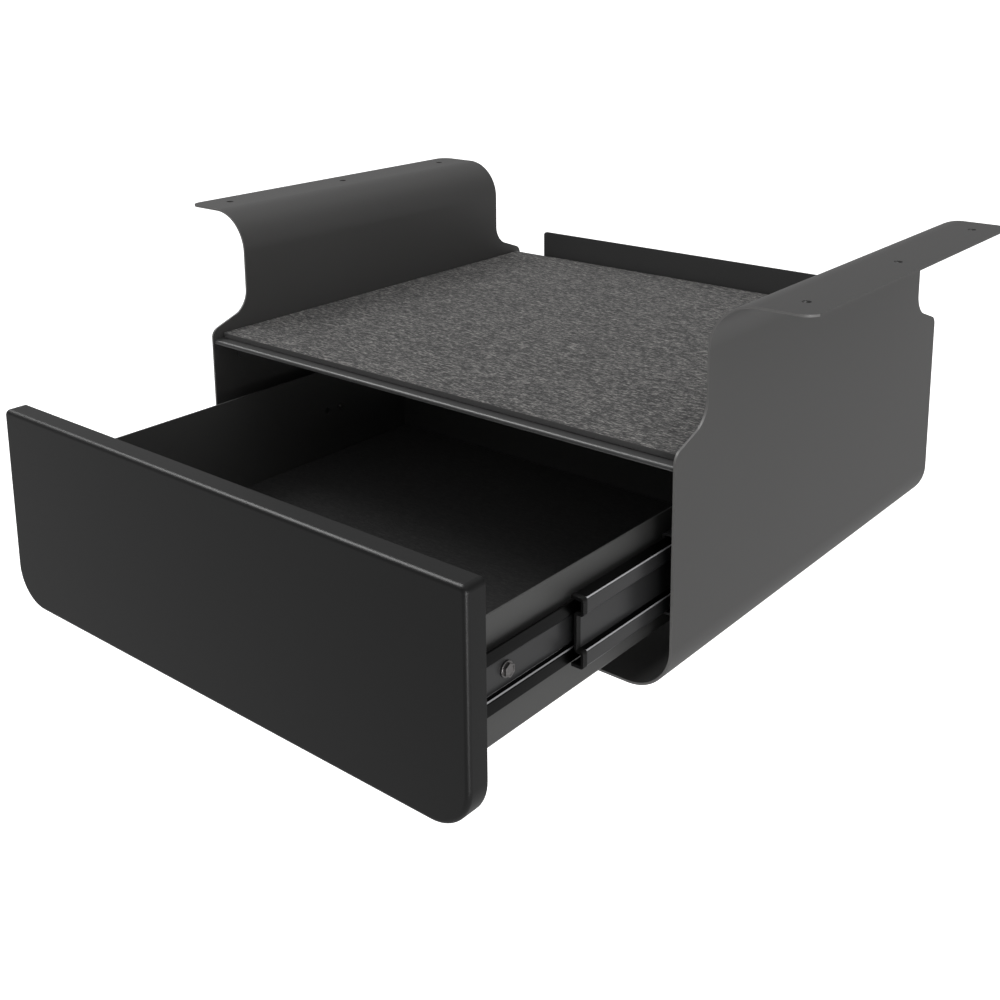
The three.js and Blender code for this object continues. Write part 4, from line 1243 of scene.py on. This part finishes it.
class DRAWER_OT_slide_screws(bpy.types.Operator):
    """Make the socket screws in the cabinet members and the flanged hex screws in the tray"""

    bl_idname = "drawer.slide_screws"
    bl_label = "Slide Screws"

    def execute(self, context):
        radius = context.scene.drawer_sizes.screw_radius
        for number in (1, 2, 3):
            self.socket_screw(number, radius)
        for number in (1, 2):
            self.hex_screw(number, radius)
        return {"FINISHED"}

    @staticmethod
    def socket_screw(number, radius):
        node = f"cabinet_member_screw_{number}"
        low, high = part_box(f"right_{node}")
        y, z = (low.y + high.y) / 2, (low.z + high.z) / 2
        seat = low.x + 2 * MM
        head = rod("head", (high.y - low.y) / 2, (low.x, y, z), (seat, y, z))
        edit(head)
        pick("edges", lambda e: all(abs(v.co.x - low.x) < 1e-6 for v in e.verts))
        bpy.ops.mesh.bevel(offset=0.9 * MM, segments=5, affect="EDGES", clamp_overlap=False)
        outward()
        leave_edit()
        start = (low.x - MM, y, z)
        drill(head, 1.6 * MM, start, (low.x + 1.2 * MM, y, z), 6)
        shank = threaded_shank(radius, (high.x, y, z), (seat - 0.6 * MM, y, z))
        screw = joined("screw", [head, shank])
        settle_pair(screw, f"{node}_fine", "housing", node, "screw")

    @staticmethod
    def hex_screw(number, radius):
        node = f"drawer_member_screw_{number}"
        low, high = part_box(f"right_{node}")
        y, z = (low.y + high.y) / 2, (low.z + high.z) / 2
        seat = high.x - 2.6 * MM
        flange = rod("flange", (high.y - low.y) / 2, (seat, y, z), (seat + 0.8 * MM, y, z))
        edit(flange)
        top = seat + 0.8 * MM
        pick("edges", lambda e: all(abs(v.co.x - top) < 1e-6 for v in e.verts))
        bpy.ops.mesh.bevel(offset=0.35 * MM, segments=3, affect="EDGES", clamp_overlap=False)
        outward()
        leave_edit()
        head = rod("head", 4 * MM, (seat + 0.4 * MM, y, z), (high.x, y, z), 6)
        edit(head)
        pick("faces", lambda f: all(abs(v.co.x - high.x) < 1e-6 for v in f.verts))
        bpy.ops.mesh.inset(thickness=0.7 * MM)
        bpy.ops.mesh.extrude_region_move(TRANSFORM_OT_translate={"value": (-0.4 * MM, 0, 0)})
        outward()
        leave_edit()
        soften(head, 0.18 * MM)
        shank = threaded_shank(radius, (low.x, y, z), (seat + 0.4 * MM, y, z))
        screw = joined("screw", [flange, head, shank])
        settle_pair(screw, f"{node}_fine", "drawer", node, "screw")


# ------------------------------------------------------------------ studio
class DRAWER_OT_stage(bpy.types.Operator):
    """Set up the floor, the soft lights and the camera"""

    bl_idname = "drawer.stage"
    bl_label = "Stage"

    def execute(self, context):
        low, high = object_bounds()
        self.floor(low.z - 0.55)
        self.surroundings(context)
        self.lights()
        self.camera(context)
        context.scene.view_settings.view_transform = "Standard"
        return {"FINISHED"}

    @staticmethod
    def floor(z):
        clear_bench()
        bpy.ops.mesh.primitive_plane_add(size=60, location=(0, 0, z))
        plane = bpy.context.object
        plane.name = "studio_floor"
        bpy.ops.object.transform_apply(location=True, rotation=True, scale=True)
        plane.data.materials.append(finish_named("floor"))
        plane.visible_diffuse = False
        plane.visible_glossy = False
        plane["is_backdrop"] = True

    @staticmethod
    def surroundings(context):
        world = bpy.data.worlds.new("Studio")
        world.use_nodes = True
        context.scene.world = world
        tree = world.node_tree
        shown = tree.nodes["Background"]
        shown.inputs["Color"].default_value = (1.0, 1.0, 1.0, 1.0)
        shown.inputs["Strength"].default_value = 1.0
        soft = tree.nodes.new("ShaderNodeBackground")
        soft.inputs["Strength"].default_value = 1.0
        direction = tree.nodes.new("ShaderNodeTexCoord")
        parts = tree.nodes.new("ShaderNodeSeparateXYZ")
        level = tree.nodes.new("ShaderNodeMapRange")
        level.inputs["From Min"].default_value = -1.0
        ramp = tree.nodes.new("ShaderNodeValToRGB")
        Finish.set_stops(ramp.color_ramp, SKY)
        tree.links.new(direction.outputs["Generated"], parts.inputs[0])
        tree.links.new(parts.outputs["Z"], level.inputs["Value"])
        tree.links.new(level.outputs[0], ramp.inputs["Fac"])
        tree.links.new(ramp.outputs["Color"], soft.inputs["Color"])
        path = tree.nodes.new("ShaderNodeLightPath")
        mixed = tree.nodes.new("ShaderNodeMixShader")
        tree.links.new(path.outputs["Is Camera Ray"], mixed.inputs[0])
        tree.links.new(soft.outputs[0], mixed.inputs[1])
        tree.links.new(shown.outputs[0], mixed.inputs[2])
        tree.links.new(mixed.outputs[0], tree.nodes["World Output"].inputs["Surface"])

    @staticmethod
    def lights():
        middle = Vector((0.0, 0.0, -0.1))
        panels = [
            ("top_softbox", (0.2, 0.2, 3.0), 4.0, 4.0, 22.0, True),
            ("left_softbox", (-1.7, -0.5, 2.3), 1.2, 0.55, 10.0, True),
            ("right_softbox", (2.6, -0.3, -0.45), 2.6, 1.4, 20.0, True),
            ("corner_softbox", (2.0, -1.5, -0.4), 0.4, 1.1, 8.0, True),
            ("left_glow", (-1.74, -0.57, 2.24), 1.7, 1.5, 90.0, False),
            ("corner_glow", (2.3, -1.7, -0.65), 0.9, 1.6, 46.0, False),
        ]
        for name, place, width, height, power, lights_all in panels:
            clear_bench()
            bpy.ops.object.light_add(type="AREA", location=place)
            lamp = bpy.context.object
            lamp.name = name
            lamp.data.shape = "RECTANGLE"
            lamp.data.size = width
            lamp.data.size_y = height
            lamp.data.energy = power
            lamp.visible_diffuse = lights_all
            aim = middle - Vector(place)
            lamp.rotation_euler = aim.to_track_quat("-Z", "Y").to_euler()

    @staticmethod
    def camera(context):
        turn, tilt, roll = math.radians(39.85), math.radians(12.73), math.radians(-0.52)
        clear_bench()
        bpy.ops.object.camera_add(location=(0.5689, -0.7693, 0.1900))
        camera = bpy.context.object
        camera.name = "studio_camera"
        camera.data.sensor_width = 36.0
        camera.data.lens = 48.24
        camera.data.shift_y = -0.25
        camera.data.clip_start = 0.01
        camera.data.clip_end = 200.0
        aim = Matrix.Rotation(turn, 4, "Z") @ Matrix.Rotation(math.pi / 2 - tilt, 4, "X")
        camera.rotation_euler = (aim @ Matrix.Rotation(roll, 4, "Z")).to_euler()
        context.scene.camera = camera


STEPS = (
    DRAWER_OT_side_panels,
    DRAWER_OT_shelf,
    DRAWER_OT_shelf_felt,
    DRAWER_OT_drawer_front,
    DRAWER_OT_tray,
    DRAWER_OT_drawer_liner,
    DRAWER_OT_front_screws,
    DRAWER_OT_cabinet_members,
    DRAWER_OT_middle_members,
    DRAWER_OT_drawer_members,
    DRAWER_OT_rear_stops,
    DRAWER_OT_ball_cages,
    DRAWER_OT_slide_screws,
    DRAWER_OT_stage,
)


class DRAWER_PT_bench(bpy.types.Panel):
    """Lists the steps in the order in which they are made"""

    bl_idname = "DRAWER_PT_bench"
    bl_label = "Under-Desk Drawer"
    bl_space_type = "VIEW_3D"
    bl_region_type = "UI"
    bl_category = "Drawer"

    def draw(self, context):
        for step in STEPS:
            self.layout.operator(step.bl_idname)
        for group in (context.scene.drawer_sizes, context.scene.drawer_colours):
            box = self.layout.box()
            for name in group.__annotations__:
                box.prop(group, name)


CLASSES = (DrawerSizes, DrawerColours, *STEPS, DRAWER_PT_bench)


def register():
    for item in CLASSES:
        bpy.utils.register_class(item)
    bpy.types.Scene.drawer_sizes = bpy.props.PointerProperty(type=DrawerSizes)
    bpy.types.Scene.drawer_colours = bpy.props.PointerProperty(type=DrawerColours)


def unregister():
    del bpy.types.Scene.drawer_colours
    del bpy.types.Scene.drawer_sizes
    for item in reversed(CLASSES):
        bpy.utils.unregister_class(item)


def main():
    register()
    for step in STEPS:
        group, name = step.bl_idname.split(".")
        getattr(getattr(bpy.ops, group), name)()


if __name__ == "__main__":
    main()
